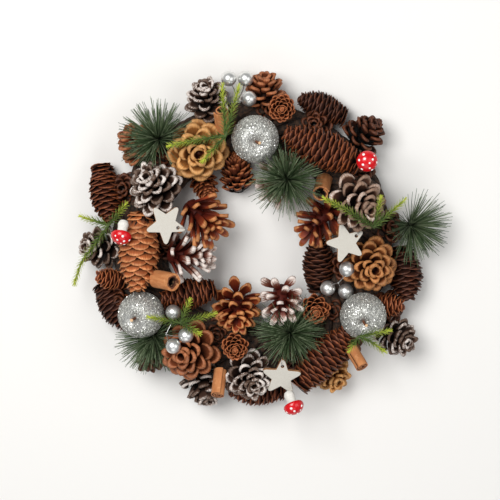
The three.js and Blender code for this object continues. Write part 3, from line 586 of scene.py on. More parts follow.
def grow_open(bm, cone, middle):
    """Scales that stand off the core, flat at the foot and upright at the tip."""
    kind = OPEN_KINDS[cone.shape]
    axis, length, radius, foot = measured(cone, middle)
    wide = kind.breadth / math.sqrt(cone.scales)
    for t, spoke in spokes(cone, axis, 0.08):
        core = radius * (0.26 - 0.2 * t)
        slope = math.radians(slope_at(kind, t) + draw.uniform(-5, 5))
        reach = radius * 1.03 * (1 - kind.fall * t**1.7) - core
        root = foot + axis * length * (0.04 + 0.72 * t) + spoke * core
        along = spoke * math.cos(slope) + axis * math.sin(slope)
        out = axis * math.cos(slope) - spoke * math.sin(slope)
        upward = length * (0.98 - 0.72 * t) / max(0.2, math.sin(slope))
        far = min(reach / math.cos(slope), upward) * draw.uniform(0.93, 1.03)
        breadth = radius * wide * (1 - kind.narrowing * t) * draw.uniform(0.92, 1.08)
        far = min(far, room(root, along, *FLOOR_BOX))
        side = along.cross(out) * breadth + out * breadth * draw.uniform(-0.12, 0.12)
        matrix = basis(root, side, along * far, out * radius * 0.7)
        stamp(bm, kind.pattern, matrix, tone=draw.random())
    # the core keeps tip 0, so it takes the painted shade of the scale roots
    core_line = [(0.34, 0.05), (0.24, 0.35), (0.1, 0.76)]
    add_core(bm, axis, foot, [(0, 0), *((radius * r, length * z) for r, z in core_line), (0, 0.82 * length)])


def belly(t):
    """A spruce cone's half width along its length."""
    swell = 0.5 + 0.5 * math.sin(math.pi * (0.12 + 0.62 * t)) ** 1.6
    return swell * (1 - 0.62 * t**2.6)


SCALED = 0.92  # the share of a closed cone's length that scales grow on
OVERLAP = 1.8  # how many pitches long a scale is
DEEPEST = 0.95  # the share of the way to the axis that a scale's root may reach


def grow_closed(bm, cone, middle):
    """Scales that lie over one another like shingles, and gape by some degrees."""
    kind = TILED_KINDS[cone.shape]
    axis, length, radius, foot = measured(cone, middle)
    pitch = math.sqrt(2 * math.pi * radius * 0.8 * length / cone.scales)
    for t, spoke in spokes(cone, axis, 0.05):
        closing = max(0.0, 1 - t * 10)  # the first scales close the foot
        outer = radius * belly(t) * (1 - 0.26 * closing) * draw.uniform(0.97, 1.02)
        slope = math.radians(slope_at(kind, t) + 44 * closing + draw.uniform(-4, 4))
        narrowing = 1 - kind.narrowing * (1 - min(1.0, (1 - t) * 2.4))
        far = pitch * OVERLAP * (0.6 + 0.4 * narrowing)
        along = axis * math.cos(slope) + spoke * math.sin(slope)
        out = spoke * math.cos(slope) - axis * math.sin(slope)
        if closing:
            far = min(far, outer * DEEPEST / math.sin(slope))
        depth = min(far * math.sin(slope), outer * DEEPEST)
        rise = length * SCALED * t - pitch * (0.5 - 0.4 * closing)
        root = foot + axis * rise + spoke * (outer - depth)
        breadth = pitch * kind.breadth * narrowing * (1 + 0.25 * closing) * draw.uniform(0.94, 1.06)
        matrix = basis(root, along.cross(out) * breadth, along * far, out * pitch)
        fresh = stamp(bm, kind.pattern, matrix, tone=draw.random())
        # painted shade: the first scales at the foot lie open, so their tip mark is raised and less of their
        # root is painted dark
        bare = max(0.0, 1 - t * 4) * 0.6  # how little of the root lies under other scales
        tip = bm.verts.layers.float["tip"]
        for vert in fresh:
            vert[tip] += (1 - vert[tip]) * bare
    # the core keeps tip 0, so it takes the painted shade of the scale roots
    heights = (0.1, 0.24, 0.4, 0.6, 0.8, 0.93)
    profile = [(radius * belly(t) * kind.fall, length * SCALED * t) for t in heights]
    add_core(bm, axis, foot, [(0, 0.05 * length), *profile, (0, 0.93 * length)])

# %% Build every cone
replaced = set()
for number, cone in enumerate(CONES):
    bm = new_bmesh()
    grow = grow_open if cone.shape in OPEN_KINDS else grow_closed
    grow(bm, cone, cone_middle(cone))
    nodes = () if cone.node in replaced else (cone.node,)
    replaced.add(cone.node)
    faces = len(bm.faces)
    add_piece(f"scales_{number:02d}_{cone.node}", bm, [FINISHES[cone.look]], cone.slot, nodes)
print("cones done, the last one has", faces, "faces")

# %% [markdown]
# Between the cones that stand out, darker ones fill the ring, deep down in the gaps. Only bits of them are
# seen, so they are small and alike, and each is sunk into the vine.

# %% Cones in the gaps
FILL_HEIGHT = 20 * MM  # of the middle of such a cone above the floor
FILLERS = [
    ((18, 125), (60, 70)),
    ((60, 112), (120, 75)),
    ((100, 72), (30, 75)),
    ((128, 16), (0, 70)),
    ((128, -60), (-20, 70)),
    ((88, -94), (-60, 75)),
    ((78, -60), (-120, 75)),
    ((34, -104), (-70, 75)),
    ((-33, -84), (-90, 80)),
    ((-76, -84), (-130, 75)),
    ((-122, -52), (200, 70)),
    ((-84, 2), (20, 75)),
    ((-120, 52), (160, 75)),
    ((-80, 84), (130, 75)),
    ((-26, 118), (100, 75)),
    ((40, 88), (-90, 80)),
    ((90, -20), (180, 75)),
    ((-80, -58), (-60, 80)),
]
for number, (spot, pose) in enumerate(FILLERS):
    # the fillers take the dark finish, which is partly painted shade, as they lie deep in the gaps
    filler = Cone("", "open", spot, pose, (26, 38), 28, "dark", "dark_cone")
    bm = new_bmesh()
    level = seen_at(spot)
    sight = EYE - level
    grow_open(bm, filler, level + sight * (FILL_HEIGHT - level.z) / sight.z)
    add_piece(f"gap_scales_{number:02d}", bm, [FINISHES[filler.look]], filler.slot)
print(len(FILLERS), "cones in the gaps")

# %% [markdown]
# The apples are craft apples that were rolled in silver glitter. Each is a smooth lathed body, and over it
# lie thousands of tiny flakes, each tipped its own way, so that some catch the light and others stay dark.
# The thin brown stem stands in the dimple.

# %% Apple finishes
def plain_finish(name, color, roughness, metallic=0.0, speckle=0.0, scale=900.0, relief=0.0):
    """A finish of one colour, with a fine speckle in its colour, gloss and relief."""
    material, tree, shader = new_material(name)
    grain = noise(tree, scale)
    darker = tuple(part * (1 - speckle) for part in color[:3]) + (1.0,)
    coat = mixed(tree, ramped(tree, grain, 0.35, 0.65), darker, color)
    rough = ramped(tree, grain, 0.2, 0.8, roughness * 0.85, roughness * 1.15)
    fill(tree, shader, {"Base Color": coat, "Roughness": rough, "Metallic": metallic})
    if relief:
        bump(tree, shader, grain, relief, 0.0005)
    return material


def flake_finish():
    material, tree, shader = new_material("silver glitter flakes")
    tone = marked(tree, "tone")
    color = mixed(tree, ramped(tree, tone, 0.05, 0.75), paint(126, 125, 118), paint(254, 254, 248))
    metal = ramped(tree, tone, 0.3, 0.9, 0.4, 0.8)
    fill(tree, shader, {"Base Color": color, "Metallic": metal, "Roughness": 0.3})
    return material


GLUE = plain_finish("glitter ground", paint(190, 190, 185), 0.4, 0.5, 0.5, 1200.0, 0.6)
FLAKES = flake_finish()
STEM = plain_finish("apple stem", paint(132, 78, 46), 0.7, 0.0, 0.5, 500.0, 0.4)
STEM_END = plain_finish("cut end of the stem", paint(222, 182, 138), 0.8, 0.0, 0.2, 900.0, 0.3)

# %% Build the apples
APPLE_RADIUS = 21.5 * MM
APPLE_FOOT = 0.8  # radii from its middle down to its lowest pole
APPLE_OUTLINE = [(0, -APPLE_FOOT), (0.32, -0.9), (0.76, -0.68), (1, -0.1), (0.94, 0.42), (0.66, 0.81)]
APPLE_OUTLINE += [(0.4, 0.88), (0.2, 0.8), (0.06, 0.69), (0, 0.68)]
APPLES = {  # pose of the solid, and of the stem as seen
    "apple_top": ((-78, 75), (-78, 75)),
    "apple_left": ((232, 55), (208, 66)),
    "apple_right": ((-98, 70), (-98, 70)),
}
STEM_LINE = ((0, 0, 0.5), (0.028, 0.019, 0.95), (0.121, 0.056, 1.28))  # in radii
FLAKE_SIZE = 0.46 * MM
FLAKE_TILT = 32  # degrees
FLAKES_IN_PATCH = 24
PATCH_SPREAD = 1.5 * MM
COVER = 1.15  # how thickly the patches lie


def smooth_line(points, steps):
    """A soft curve through the points, with so many steps between two of them."""
    ends = [points[0] * 2 - points[1], *points, points[-1] * 2 - points[-2]]
    line = []
    for a, b, c, d in zip(ends, ends[1:], ends[2:], ends[3:]):
        for k in range(steps):
            t = k / steps
            square = (a * 2 - b * 5 + c * 4 - d) * t**2
            cube = (b * 3 - a - c * 3 + d) * t**3
            line.append((b * 2 + (c - a) * t + square + cube) / 2)
    return [*line, points[-1].copy()]


def curve_mesh(curve):
    """The curve as a mesh that has the marks."""
    holder = bpy.data.objects.new("curve", curve)
    mesh = bpy.data.meshes.new_from_object(holder)
    for name in MARKS:
        mesh.attributes.new(name, "FLOAT", "POINT")
    bpy.data.objects.remove(holder)
    bpy.data.curves.remove(curve)
    return mesh


def add_tube(bm, points, radius, taper=1.0, roundness=1):
    """Adds a wire or stem along the points, drawn as a curve and then made a mesh."""
    curve = bpy.data.curves.new("tube", "CURVE")
    curve.dimensions = "3D"
    curve.bevel_depth = radius
    curve.bevel_resolution = roundness
    curve.use_fill_caps = True
    spline = curve.splines.new("POLY")
    spline.points.add(len(points) - 1)
    for k, point in enumerate(points):
        spline.points[k].co = (*point, 1)
        spline.points[k].radius = 1 + (taper - 1) * k / (len(points) - 1)
    mesh = curve_mesh(curve)
    for face in mesh.polygons:
        face.use_smooth = True
    stamp(bm, mesh, Matrix.Identity(4))


def lathed(outline, steps, turns):
    """A smooth lathed body, whose outline is drawn as a soft curve."""
    body = new_bmesh()
    lathe(body, [(max(0.0, point.x), point.y) for point in smooth_line(outline, steps)], turns)
    smooth(body)
    return body


def flake_patch():
    """A few flakes strewn over a small round patch, each tipped its own way."""
    bm = new_bmesh()
    layer = bm.verts.layers.float["tone"]
    for _ in range(FLAKES_IN_PATCH):
        angle = draw.uniform(0, 2 * math.pi)
        out = PATCH_SPREAD * math.sqrt(draw.random())
        tilt = Matrix.Rotation(math.radians(draw.gauss(0, FLAKE_TILT)), 4, "X")
        turned = Matrix.Rotation(draw.uniform(0, 6), 4, "Z") @ tilt @ Matrix.Rotation(angle, 4, "Z")
        spot = (out * math.cos(angle), out * math.sin(angle), draw.uniform(0, 0.3) * MM)
        size = FLAKE_SIZE * draw.uniform(0.7, 1.25)
        place = Matrix.Translation(spot) @ turned
        made = bmesh.ops.create_circle(bm, cap_ends=True, segments=4, radius=size, matrix=place)
        tone = draw.random()
        for vert in made["verts"]:
            vert[layer] = tone
    return mesh_of(bm, "flakes")


PATCHES = [flake_patch() for _ in range(5)]


def corners_of(face):
    return sorted(face.verts, key=lambda vert: vert.index)


for name, (solid_pose, pose) in APPLES.items():
    solid_axis = facing(*solid_pose)
    middle = far_pole(name, -solid_axis) + solid_axis * APPLE_FOOT * APPLE_RADIUS
    place = placed(facing(*pose), middle)
    body = lathed([Vector(spot) * APPLE_RADIUS for spot in APPLE_OUTLINE], 4, 36)
    glitter = new_bmesh()
    body.verts.index_update()
    # a spin makes its faces in an order that changes from run to run, so they are sorted by their corners
    for face in sorted(body.faces, key=lambda face: [vert.index for vert in corners_of(face)]):
        share = face.calc_area() / (math.pi * PATCH_SPREAD**2) * COVER
        for _ in range(int(share + draw.random())):
            corners = corners_of(face)
            weights = [draw.random() for _ in corners]
            pulls = [vert.co * weight for vert, weight in zip(corners, weights)]
            spot = sum(pulls, Vector()) / sum(weights)
            spin = Matrix.Rotation(draw.uniform(0, 6), 4, "Z")
            seat = placed(face.normal, spot) @ spin
            stamp(glitter, draw.choice(PATCHES), place @ seat)
    bmesh.ops.transform(body, matrix=place, verts=body.verts)
    add_piece(name + "_body", body, [GLUE], "silver_glitter", (name,))
    print(name, len(glitter.faces), "flakes")
    add_piece(name + "_flakes", glitter, [FLAKES], "silver_glitter")
    stem_line = smooth_line([place @ (Vector(point) * APPLE_RADIUS) for point in STEM_LINE], 5)
    stem = new_bmesh()
    add_tube(stem, stem_line, 1.2 * MM, 1.2)
    add_piece(name + "_stem", stem, [STEM], "vine")
    cut = new_bmesh()
    bmesh.ops.create_icosphere(cut, subdivisions=2, radius=1.5 * MM)
    end = placed((stem_line[-1] - stem_line[-2]).normalized(), stem_line[-1])
    bmesh.ops.transform(cut, matrix=end @ Matrix.Diagonal((1, 1, 0.4, 1)), verts=cut.verts)
    add_piece(name + "_stem_end", cut, [STEM_END], "vine")

# %% [markdown]
# The toadstools are small painted craft ones: a glossy red cap with raised white dots, on a pale papery
# stalk. Cap and stalk are lathed. The dots are flattened balls in two rings round a middle one.

# %% Toadstools
CAP_RADIUS = 9.8 * MM
CAP_HEIGHT = 0.96  # in radii
CAP_OUTLINE = [(0, 0), (0.5, -0.02), (0.86, -0.07), (0.985, 0.06), (1, 0.2), (0.93, 0.44), (0.7, 0.73)]
CAP_OUTLINE += [(0.36, 0.9), (0, CAP_HEIGHT)]
STALK_RADIUS = 5 * MM
STALK_LENGTH = 13 * MM
STALK_TOP = -0.6 * MM  # from the cap's rim
STALK_OUTLINE = [(0, 0), (0.7, 0), (0.84, 0.06), (1.02, 0.26), (0.92, 0.5), (0.8, 0.97), (0, 1)]
TOADSTOOLS = {"toadstool_left": (-98, 25), "toadstool_right": (-70, 72), "toadstool_bottom": (-68, 25)}
DOT_RINGS = ((0.1, 1), (0.55, 4), (1.0, 6))  # radians from the crown, and how many dots stand there
DOT = 1.25 * MM

CAP_PAINT = plain_finish("red cap paint", paint(206, 14, 24), 0.22, 0.0, 0.12, 300.0)
DOT_PAINT = plain_finish("white dots", paint(244, 242, 238), 0.4)
STALK_PAINT = plain_finish("papery stalk", paint(226, 222, 214), 0.75, 0.0, 0.1, 600.0, 0.5)

dot = new_bmesh()
bmesh.ops.create_icosphere(dot, subdivisions=2, radius=1.0)
bmesh.ops.scale(dot, vec=(1, 1, 0.55), verts=dot.verts)
DOT_PATTERN = pattern_from(dot, "dot")

for name, pose in TOADSTOOLS.items():
    axis = facing(*pose)
    place = placed(axis, far_pole(name + "_cap", axis) - axis * CAP_HEIGHT * CAP_RADIUS)
    cap = lathed([Vector(spot) * CAP_RADIUS for spot in CAP_OUTLINE], 3, 32)
    for face in cap.faces:
        face.material_index = 1 if face.normal.z < -0.8 else 0
    bmesh.ops.transform(cap, matrix=place, verts=cap.verts)
    add_piece(name + "_cap_skin", cap, [CAP_PAINT, STALK_PAINT], "red_cap", (name + "_cap",))
    dots = new_bmesh()
    for polar, count in DOT_RINGS:
        for k in range(count):
            turned = 2 * math.pi * (k + draw.uniform(-0.2, 0.2)) / count + polar
            flat = math.sin(polar)
            out = Vector((flat * math.cos(turned), flat * math.sin(turned), math.cos(polar)))
            height = out.z * CAP_RADIUS * 0.9 + 0.06 * CAP_RADIUS
            low = Vector((out.x * CAP_RADIUS * 1.02, out.y * CAP_RADIUS * 1.02, height))
            seat = placed(Vector((out.x, out.y, out.z * 1.2)).normalized(), low * 0.985)
            size = DOT * draw.uniform(0.7, 1.1)
            stamp(dots, DOT_PATTERN, place @ seat @ Matrix.Scale(size, 4))
    add_piece(name + "_dots", dots, [DOT_PAINT], "pale_stalk")
    line = [Vector((r * STALK_RADIUS, (z - 1) * STALK_LENGTH + STALK_TOP)) for r, z in STALK_OUTLINE]
    stalk = lathed(line, 3, 20)
    bmesh.ops.transform(stalk, matrix=place, verts=stalk.verts)
    add_piece(name + "_stalk_skin", stalk, [STALK_PAINT], "pale_stalk", (name + "_stalk",))
print(len(TOADSTOOLS), "toadstools")

# %% [markdown]
# The stars are sawn from thin board and painted off-white on both faces, so that the bare edge stays brown.
# Each has a drilled hole in one tip, and a thin wire through it. A flat curve with a hole, given depth and
# a small bevel, makes such a shape at once.

# %% Stars
STAR_REACH = 19.5  # millimetres, as every measure of a star
STAR_WAIST = 9.6
STAR_THICKNESS = 3.6
STAR_HOLE = 1.6
STAR_HOLE_PLACE = 11.8
STAR_TIP = 0.9663  # how far the round of a tip reaches
STAR_BEVEL = 0.35
TIP_SPREAD = 0.13  # radians from the middle of a tip to the end of its side
HALF = STAR_THICKNESS / 2
WIRE_LINE = [(STAR_HOLE_PLACE, 0, -HALF - 1.4), (STAR_HOLE_PLACE, 0, 0), (12.0, 0.2, HALF + 0.7)]
WIRE_LINE += [(14.4, 0.9, HALF + 1.0), (16.6, 1.4, HALF + 0.6), (18.6, 1.7, HALF - 0.6), (19.2, 1.8, -HALF)]
STARS = {"star_left": ((-35, 76), -18), "star_right": ((-35, 78), 34), "star_bottom": ((-90, 66), 86)}


def paint_finish():
    material, tree, shader = new_material("star paint")
    grain = noise(tree, 1100.0, 4.0)
    color = mixed(tree, ramped(tree, grain, 0.4, 0.62), paint(196, 192, 182), paint(190, 185, 174))
    fill(tree, shader, {"Base Color": color, "Roughness": 0.75})
    bump(tree, shader, grain, 0.2, 0.0003)
    return material


STAR_PAINT = paint_finish()
SAWN_EDGE = plain_finish("sawn edge", paint(176, 124, 78), 0.8, 0.0, 0.45, 500.0, 0.4)
WIRE = plain_finish("thin wire", paint(190, 190, 188), 0.3, 0.9)


def on_circle(angle, radius):
    return Vector((math.cos(angle), math.sin(angle))) * radius


def star_mesh():
    curve = bpy.data.curves.new("star", "CURVE")
    curve.dimensions = "2D"
    curve.fill_mode = "BOTH"
    curve.extrude = HALF - STAR_BEVEL
    curve.bevel_depth = STAR_BEVEL
    curve.bevel_resolution = 1
    curve.offset = -STAR_BEVEL
    fifth = 2 * math.pi / 5
    outline = []
    for k in range(5):
        angle = k * fifth
        start = on_circle(angle - TIP_SPREAD, STAR_REACH) * 0.88
        peak = on_circle(angle, STAR_REACH) * 1.06
        end = on_circle(angle + TIP_SPREAD, STAR_REACH) * 0.88
        for step in range(7):
            t = step / 6
            outline.append(start * (1 - t) ** 2 + peak * 2 * t * (1 - t) + end * t**2)
        for bend in (-0.06, 0, 0.06):
            outline.append(on_circle(angle + fifth / 2 + bend, STAR_WAIST) * (1 + 0.6 * abs(bend)))
    hole = []
    for k in range(16):
        angle = -2 * math.pi * k / 16
        hole.append(Vector((STAR_HOLE_PLACE + STAR_HOLE * math.cos(angle), STAR_HOLE * math.sin(angle))))
    for line in (outline, hole):
        spline = curve.splines.new("POLY")
        spline.points.add(len(line) - 1)
        spline.use_cyclic_u = True
        for point, spot in zip(spline.points, line):
            point.co = (spot.x, spot.y, 0, 1)
    mesh = curve_mesh(curve)
    for face in mesh.polygons:
        face.material_index = 1 if abs(face.normal.z) < 0.6 else 0
    return mesh


STAR = star_mesh()
print("star:", len(STAR.polygons), "faces")

for name, (pose, tip_angle) in STARS.items():
    face = facing(*pose)
    tip = facing(tip_angle, 0)
    tip = (tip - face * tip.dot(face)).normalized()
    turn = Matrix((tip, face.cross(tip), face)).transposed()
    low, high = local_box(name, turn.to_quaternion())
    middle = (low + high) / 2
    middle.x = high.x - STAR_TIP * STAR_REACH * MM
    place = turn.to_4x4()
    place.translation = turn @ middle
    star = new_bmesh()
    stamp(star, STAR, place @ Matrix.Scale(MM, 4))
    bmesh.ops.remove_doubles(star, verts=star.verts, dist=1e-6)
    bmesh.ops.recalc_face_normals(star, faces=star.faces)
    add_piece(name + "_board", star, [STAR_PAINT, SAWN_EDGE], "painted_wood", (name,))
    line = smooth_line([place @ (Vector(point) * MM) for point in WIRE_LINE], 4)
    wire = new_bmesh()
    add_tube(wire, line, 0.28 * MM)
    add_piece(name + "_wire", wire, [WIRE], "silver_pearl")

# %% [markdown]
# Pearls are plain balls with a satin silver coat, three to a spray, on thin bent wires that meet in a knot.
# The knot is found among the vertices that lie away from all three balls.

# %% Pearls
PEARL_RADIUS = 6.8 * MM
SPRAYS = {
    "pearls_top": ((-22, 158), (-6, 158), (-3, 139)),
    "pearls_right": ((90, -23), (72, -41), (89, -44)),
    "pearls_lower_left": ((-75, -64), (-63, -86), (-75, -96)),
}
PEARL_COAT = plain_finish("satin silver coat", paint(228, 228, 225), 0.34, 0.85, 0.03, 2500.0)
PEARL_SIZE = 7.3 * MM  # the real coat is a little thicker than the solid

ball = new_bmesh()
bmesh.ops.create_uvsphere(ball, u_segments=32, v_segments=16, radius=1.0)
BALL = pattern_from(ball, "ball")

for name, spots in SPRAYS.items():
    points = node_points(name)
    pearls = new_bmesh()
    wires = new_bmesh()
    centres = []
    for spot in spots:
        near = [point for point in points if aside(point, spot) < PEARL_RADIUS * 1.05]
        start = sum(near, Vector()) / len(near)
        centres.append(ball_centre(near, PEARL_RADIUS, start))
    gaps = [min((point - centre).length for centre in centres) for point in points]
    rest = [point for point, gap in zip(points, gaps) if gap > PEARL_RADIUS * 1.2]
    height = max(point.dot(TOWARD) for point in rest)
    top = [point for point in rest if point.dot(TOWARD) > height - 3 * MM]
    knot = sum(top, Vector()) / len(top)
    low = min(rest, key=lambda point: point.dot(TOWARD))
    for centre in centres:
        stamp(pearls, BALL, Matrix.Translation(centre) @ Matrix.Scale(PEARL_SIZE, 4))
        bow = (centre + knot) / 2 + (centre - knot).cross(TOWARD).normalized() * 1.2 * MM
        add_tube(wires, smooth_line([knot, bow, centre], 6), 0.45 * MM)
    stamp(wires, BALL, Matrix.Translation(knot) @ Matrix.Scale(1.0 * MM, 4))
    if (knot - low).length > 5 * MM:
        add_tube(wires, [knot, (knot + low) / 2, low], 0.7 * MM)
    add_piece(name + "_balls", pearls, [PEARL_COAT], "silver_pearl", (name,))
    add_piece(name + "_wires", wires, [WIRE], "silver_pearl")
    print(name, "balls at", [[round(c, 3) for c in centre] for centre in centres])

# %% [markdown]
# Cinnamon is bark that curled up as it dried. The sheet is drawn as a spiral outline, extruded along the
# quill in a few steps, and each step is shifted a little, because no quill is straight.

# %% Cinnamon
Roll = namedtuple("Roll", "start turns shrink wall")
SOLID_ROLL = Roll(0.15, 1.225, 0.5, 1.6)
BARKS = {
    "cinnamon_top": ((98, 50), 26, 15, Roll(1.1, 1.45, 0.5, 1.7)),
    "cinnamon_right": ((-108, 58), 26, 17, Roll(0.1, 1.12, 0.24, 2.2)),
    "cinnamon_left": ((-10, 50), 26, 18, Roll(1.9, 1.06, 0.12, 3.6)),
    "cinnamon_bottom": ((-98, 28), 26, 15, Roll(0.4, 2.6, 0.78, 1.3)),
    "cinnamon_lower_right": ((-60, 30), 22, 14, Roll(0.9, 2.3, 0.74, 1.4)),
}


def bark_finish():
    material, tree, shader = new_material("cinnamon bark")
    tone = marked(tree, "tone")
    tip = marked(tree, "tip")
    around = reckoned(tree, "MULTIPLY", marked(tree, "across"), 26.0)
    grain_place = joined(tree, around, reckoned(tree, "MULTIPLY", tip, 1.4), tone)
    grain = noise(tree, 1.0, 5.0, grain_place)
    color = mixed(tree, ramped(tree, grain, 0.3, 0.7), paint(178, 110, 62), paint(200, 134, 82))
    # painted shade: the inside of the roll is near black, and brown only near the end where tip is 1
    shaded_hollow = mixed(tree, ramped(tree, tip, 0.75, 1.0), paint(16, 8, 5), paint(96, 50, 27))
    color = mixed(tree, ramped(tree, tone, 0.4, 0.6), color, shaded_hollow)
    color = mixed(tree, ramped(tree, noise(tree, 260.0), 0.55, 0.75, 0.0, 0.5), color, paint(220, 164, 112))
    fill(tree, shader, {"Base Color": color, "Roughness": 0.8})
    bump(tree, shader, grain, 0.35, 0.0006)
    return material


BARK = bark_finish()


def spiral(radius, steps, roll):
    """The outer and the inner line of a sheet that is rolled to a scroll."""
    outer = []
    inner = []
    for k in range(steps + 1):
        t = k / steps
        angle = math.pi * (roll.start + 2 * roll.turns * t)
        way = Vector((math.cos(angle), math.sin(angle), 0))
        outer.append(way * radius * (1 - roll.shrink * t))
        inner.append(way * (radius * (1 - roll.shrink * t) - roll.wall * MM))
    return outer, inner


BARK_STEPS = 48
BARK_LENGTHS = 6

for name, (pose, length, width, roll) in BARKS.items():
    turn = turn_to(facing(*pose))
    low, high = local_box(name, turn)
    solid_line, _ = spiral(width * MM / 2, 12, SOLID_ROLL)
    xs = [point.x for point in solid_line]
    ys = [point.y for point in solid_line]
    middle = (low + high) / 2 - Vector(((min(xs) + max(xs)) / 2, (min(ys) + max(ys)) / 2, 0))
    outer, inner = spiral(width * MM / 2, BARK_STEPS, roll)
    quill = new_bmesh()
    tone = quill.verts.layers.float["tone"]
    across = quill.verts.layers.float["across"]
    tip = quill.verts.layers.float["tip"]
    line = []
    for side, points in enumerate((outer, list(reversed(inner)))):
        for k, point in enumerate(points):
            vert = quill.verts.new(point - Vector((0, 0, length * MM / 2)))
            vert[tone] = side
            vert[across] = (k if side == 0 else BARK_STEPS - k) / BARK_STEPS
            line.append(vert)
    end = quill.faces.new(line)
    for step in range(BARK_LENGTHS):
        made = bmesh.ops.extrude_face_region(quill, geom=[end])
        end = [item for item in made["geom"] if isinstance(item, bmesh.types.BMFace)][0]
        sway = Vector((draw.uniform(-0.15, 0.15), draw.uniform(-0.15, 0.15), length / BARK_LENGTHS)) * MM
        bmesh.ops.translate(quill, vec=sway, verts=end.verts)
        for vert in end.verts:
            vert[tip] = (step + 1) / BARK_LENGTHS
    bmesh.ops.recalc_face_normals(quill, faces=quill.faces)
    place = placed(facing(*pose), turn @ middle)
    bmesh.ops.transform(quill, matrix=place, verts=quill.verts)
    print(name, len(quill.faces), "faces")
    smooth(quill)
    add_piece(name + "_quill", quill, [BARK], "cinnamon_bark", (name,), 50)

# %% [markdown]
# The pine tufts are brushes of long plastic needles. The solid's own needle points say where the brush
# reaches, so a few fine curved needles follow each of them, spread a little to the sides.

# %% Needles
def needle_pattern(name, sides, bend, flatness=1.0):
    """A tapered needle from the origin to Y = 1, of half width 1 at its root."""
    bm = new_bmesh()
    upright = Matrix.Translation((0, 0.5, 0)) @ Matrix.Rotation(math.radians(-90), 4, "X")
    taper = dict(radius1=1.0, radius2=0.42, depth=1.0)
    bmesh.ops.create_cone(bm, cap_ends=True, segments=sides, matrix=upright, **taper)
    for height in (0.3, 0.62, 0.85):
        geometry = bm.verts[:] + bm.edges[:] + bm.faces[:]
        bmesh.ops.bisect_plane(bm, geom=geometry, plane_co=(0, height, 0), plane_no=(0, 1, 0))
    bmesh.ops.scale(bm, vec=(1, 1, flatness), verts=bm.verts)
    mark(bm, "tip", lambda co: co.y)
    for vert in bm.verts:
        vert.co.z += bend * vert.co.y**2  # in needle widths, as the pattern is made thin when it is stamped
    print(name, len(bm.faces), "faces")
    return pattern_from(bm, name)


def needle_finish(name, *shades):
    """Colours of the root, the middle, young growth and the tips."""
    material, tree, shader = new_material(name)
    root, middle, end, tips = (paint(*shade) for shade in shades)
    tip = marked(tree, "tip")
    tone = marked(tree, "tone")
    young = marked(tree, "across")
    color = mixed(tree, ramped(tree, tip, 0.0, 0.6), root, middle)
    color = mixed(tree, ramped(tree, young, 0.25, 1.0), color, end)
    color = mixed(tree, ramped(tree, tone, 0.35, 1.0, 0.0, 0.6), color, tips)
    fill(tree, shader, {"Base Color": color, "Roughness": 0.42, "Specular IOR Level": 0.4})
    return material


TUFTS = ["pine_tuft_" + side for side in ("top", "bottom", "right", "lower_left", "upper_left")]
TUFT_CORE = 5 * MM
NEEDLE_WIDTH = 0.55 * MM
NEEDLES_PER_POINT = 7
PINE = needle_finish("pine needles", (28, 38, 22), (62, 82, 50), (62, 82, 50), (150, 162, 128))
PINE_NEEDLES = [needle_pattern(f"needle_{k}", 3, bend) for k, bend in enumerate((-3, 0, 3, 7))]


def stamp_needle(bm, pattern, root, way, length, width, roll, **marks):
    side = way.cross(Vector((math.cos(roll), math.sin(roll), 0.3))).normalized()
    matrix = basis(root, side * width, way * length, way.cross(side) * width)
    stamp(bm, pattern, matrix, **marks)


for name in TUFTS:
    points = node_points(name)
    start = Vector([sorted(point[k] for point in points)[len(points) // 2] for k in range(3)])
    centre = ball_centre(points, TUFT_CORE, start)
    reach_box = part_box(name)
    tuft = new_bmesh()
    for point in points:
        arm = point - centre
        if arm.length < TUFT_CORE * 2 or arm.normalized().dot(TOWARD) < -0.8:
            continue
        for k in range(NEEDLES_PER_POINT):
            spread = Vector([draw.gauss(0, 0.24) for _ in range(3)])
            way = (arm.normalized() + spread).normalized()
            length = min(arm.length * draw.uniform(0.68, 1.0), room(centre, way, *reach_box))
            roll = draw.uniform(0, 6)
            width = NEEDLE_WIDTH * draw.uniform(0.8, 1.15)
            needle = draw.choice(PINE_NEEDLES)
            stamp_needle(tuft, needle, centre, way, length, width, roll, tone=draw.random())
    foot = min(points, key=lambda point: (point - centre).normalized().dot(TOWARD))
    add_tube(tuft, [foot, centre], 1.3 * MM)
    print(name, len(tuft.faces), "faces")
    add_piece(name + "_brush", tuft, [PINE], "pine_needles", (name,))

# %% [markdown]
# Fir sprigs fork into fingers. Their needles are short and flat, stand all round the twig, lean forward,
# and turn from dark green near the fork to the yellow-green of young growth at the end.

# %% Fir sprigs
SPRIGS = {
    "fir_top": ((-25, 104), [[(-28, 149)], [(-13, 148)], [(-50, 100), (-76, 95)], [(-45, 82)]]),
    "fir_left": ((-136, 19), [[(-121, 37)], [(-160, 26)], [(-147, 4), (-161, -15), (-168, -34)]]),
    "fir_right": ((116, 17), [[(92, 32), (71, 43)], [(122, 42)], [(143, 41)]]),
    "fir_lower_left": ((-68, -74), [[(-38, -66)], [(-60, -55)], [(-52, -83)], [(-95, -69)]]),
    "fir_lower_right": ((101, -87), [[(94, -98)], [(113, -92), (124, -100)], [(128, -82)]]),
}
FIR_STEP = 0.48 * MM
FIR_LENGTH = 7.2 * MM
FIR_WIDTH = 0.66 * MM
FIR = needle_finish("fir needles", (50, 72, 32), (84, 108, 44), (184, 194, 64), (130, 152, 66))
FIR_TWIG = plain_finish("green twig", paint(70, 88, 34), 0.7, 0.0, 0.4, 500.0)
FIR_NEEDLE = needle_pattern("fir needle", 4, 1, 0.55)


def level_at(points, spot, reach):
    """How far towards the camera the vertices that are seen near the spot lie, on average."""
    near = [point for point in points if aside(point, spot) < reach]
    if len(near) < 3:
        return level_at(points, spot, reach * 1.5)
    return sum((point - AIM).dot(TOWARD) for point in near) / len(near)


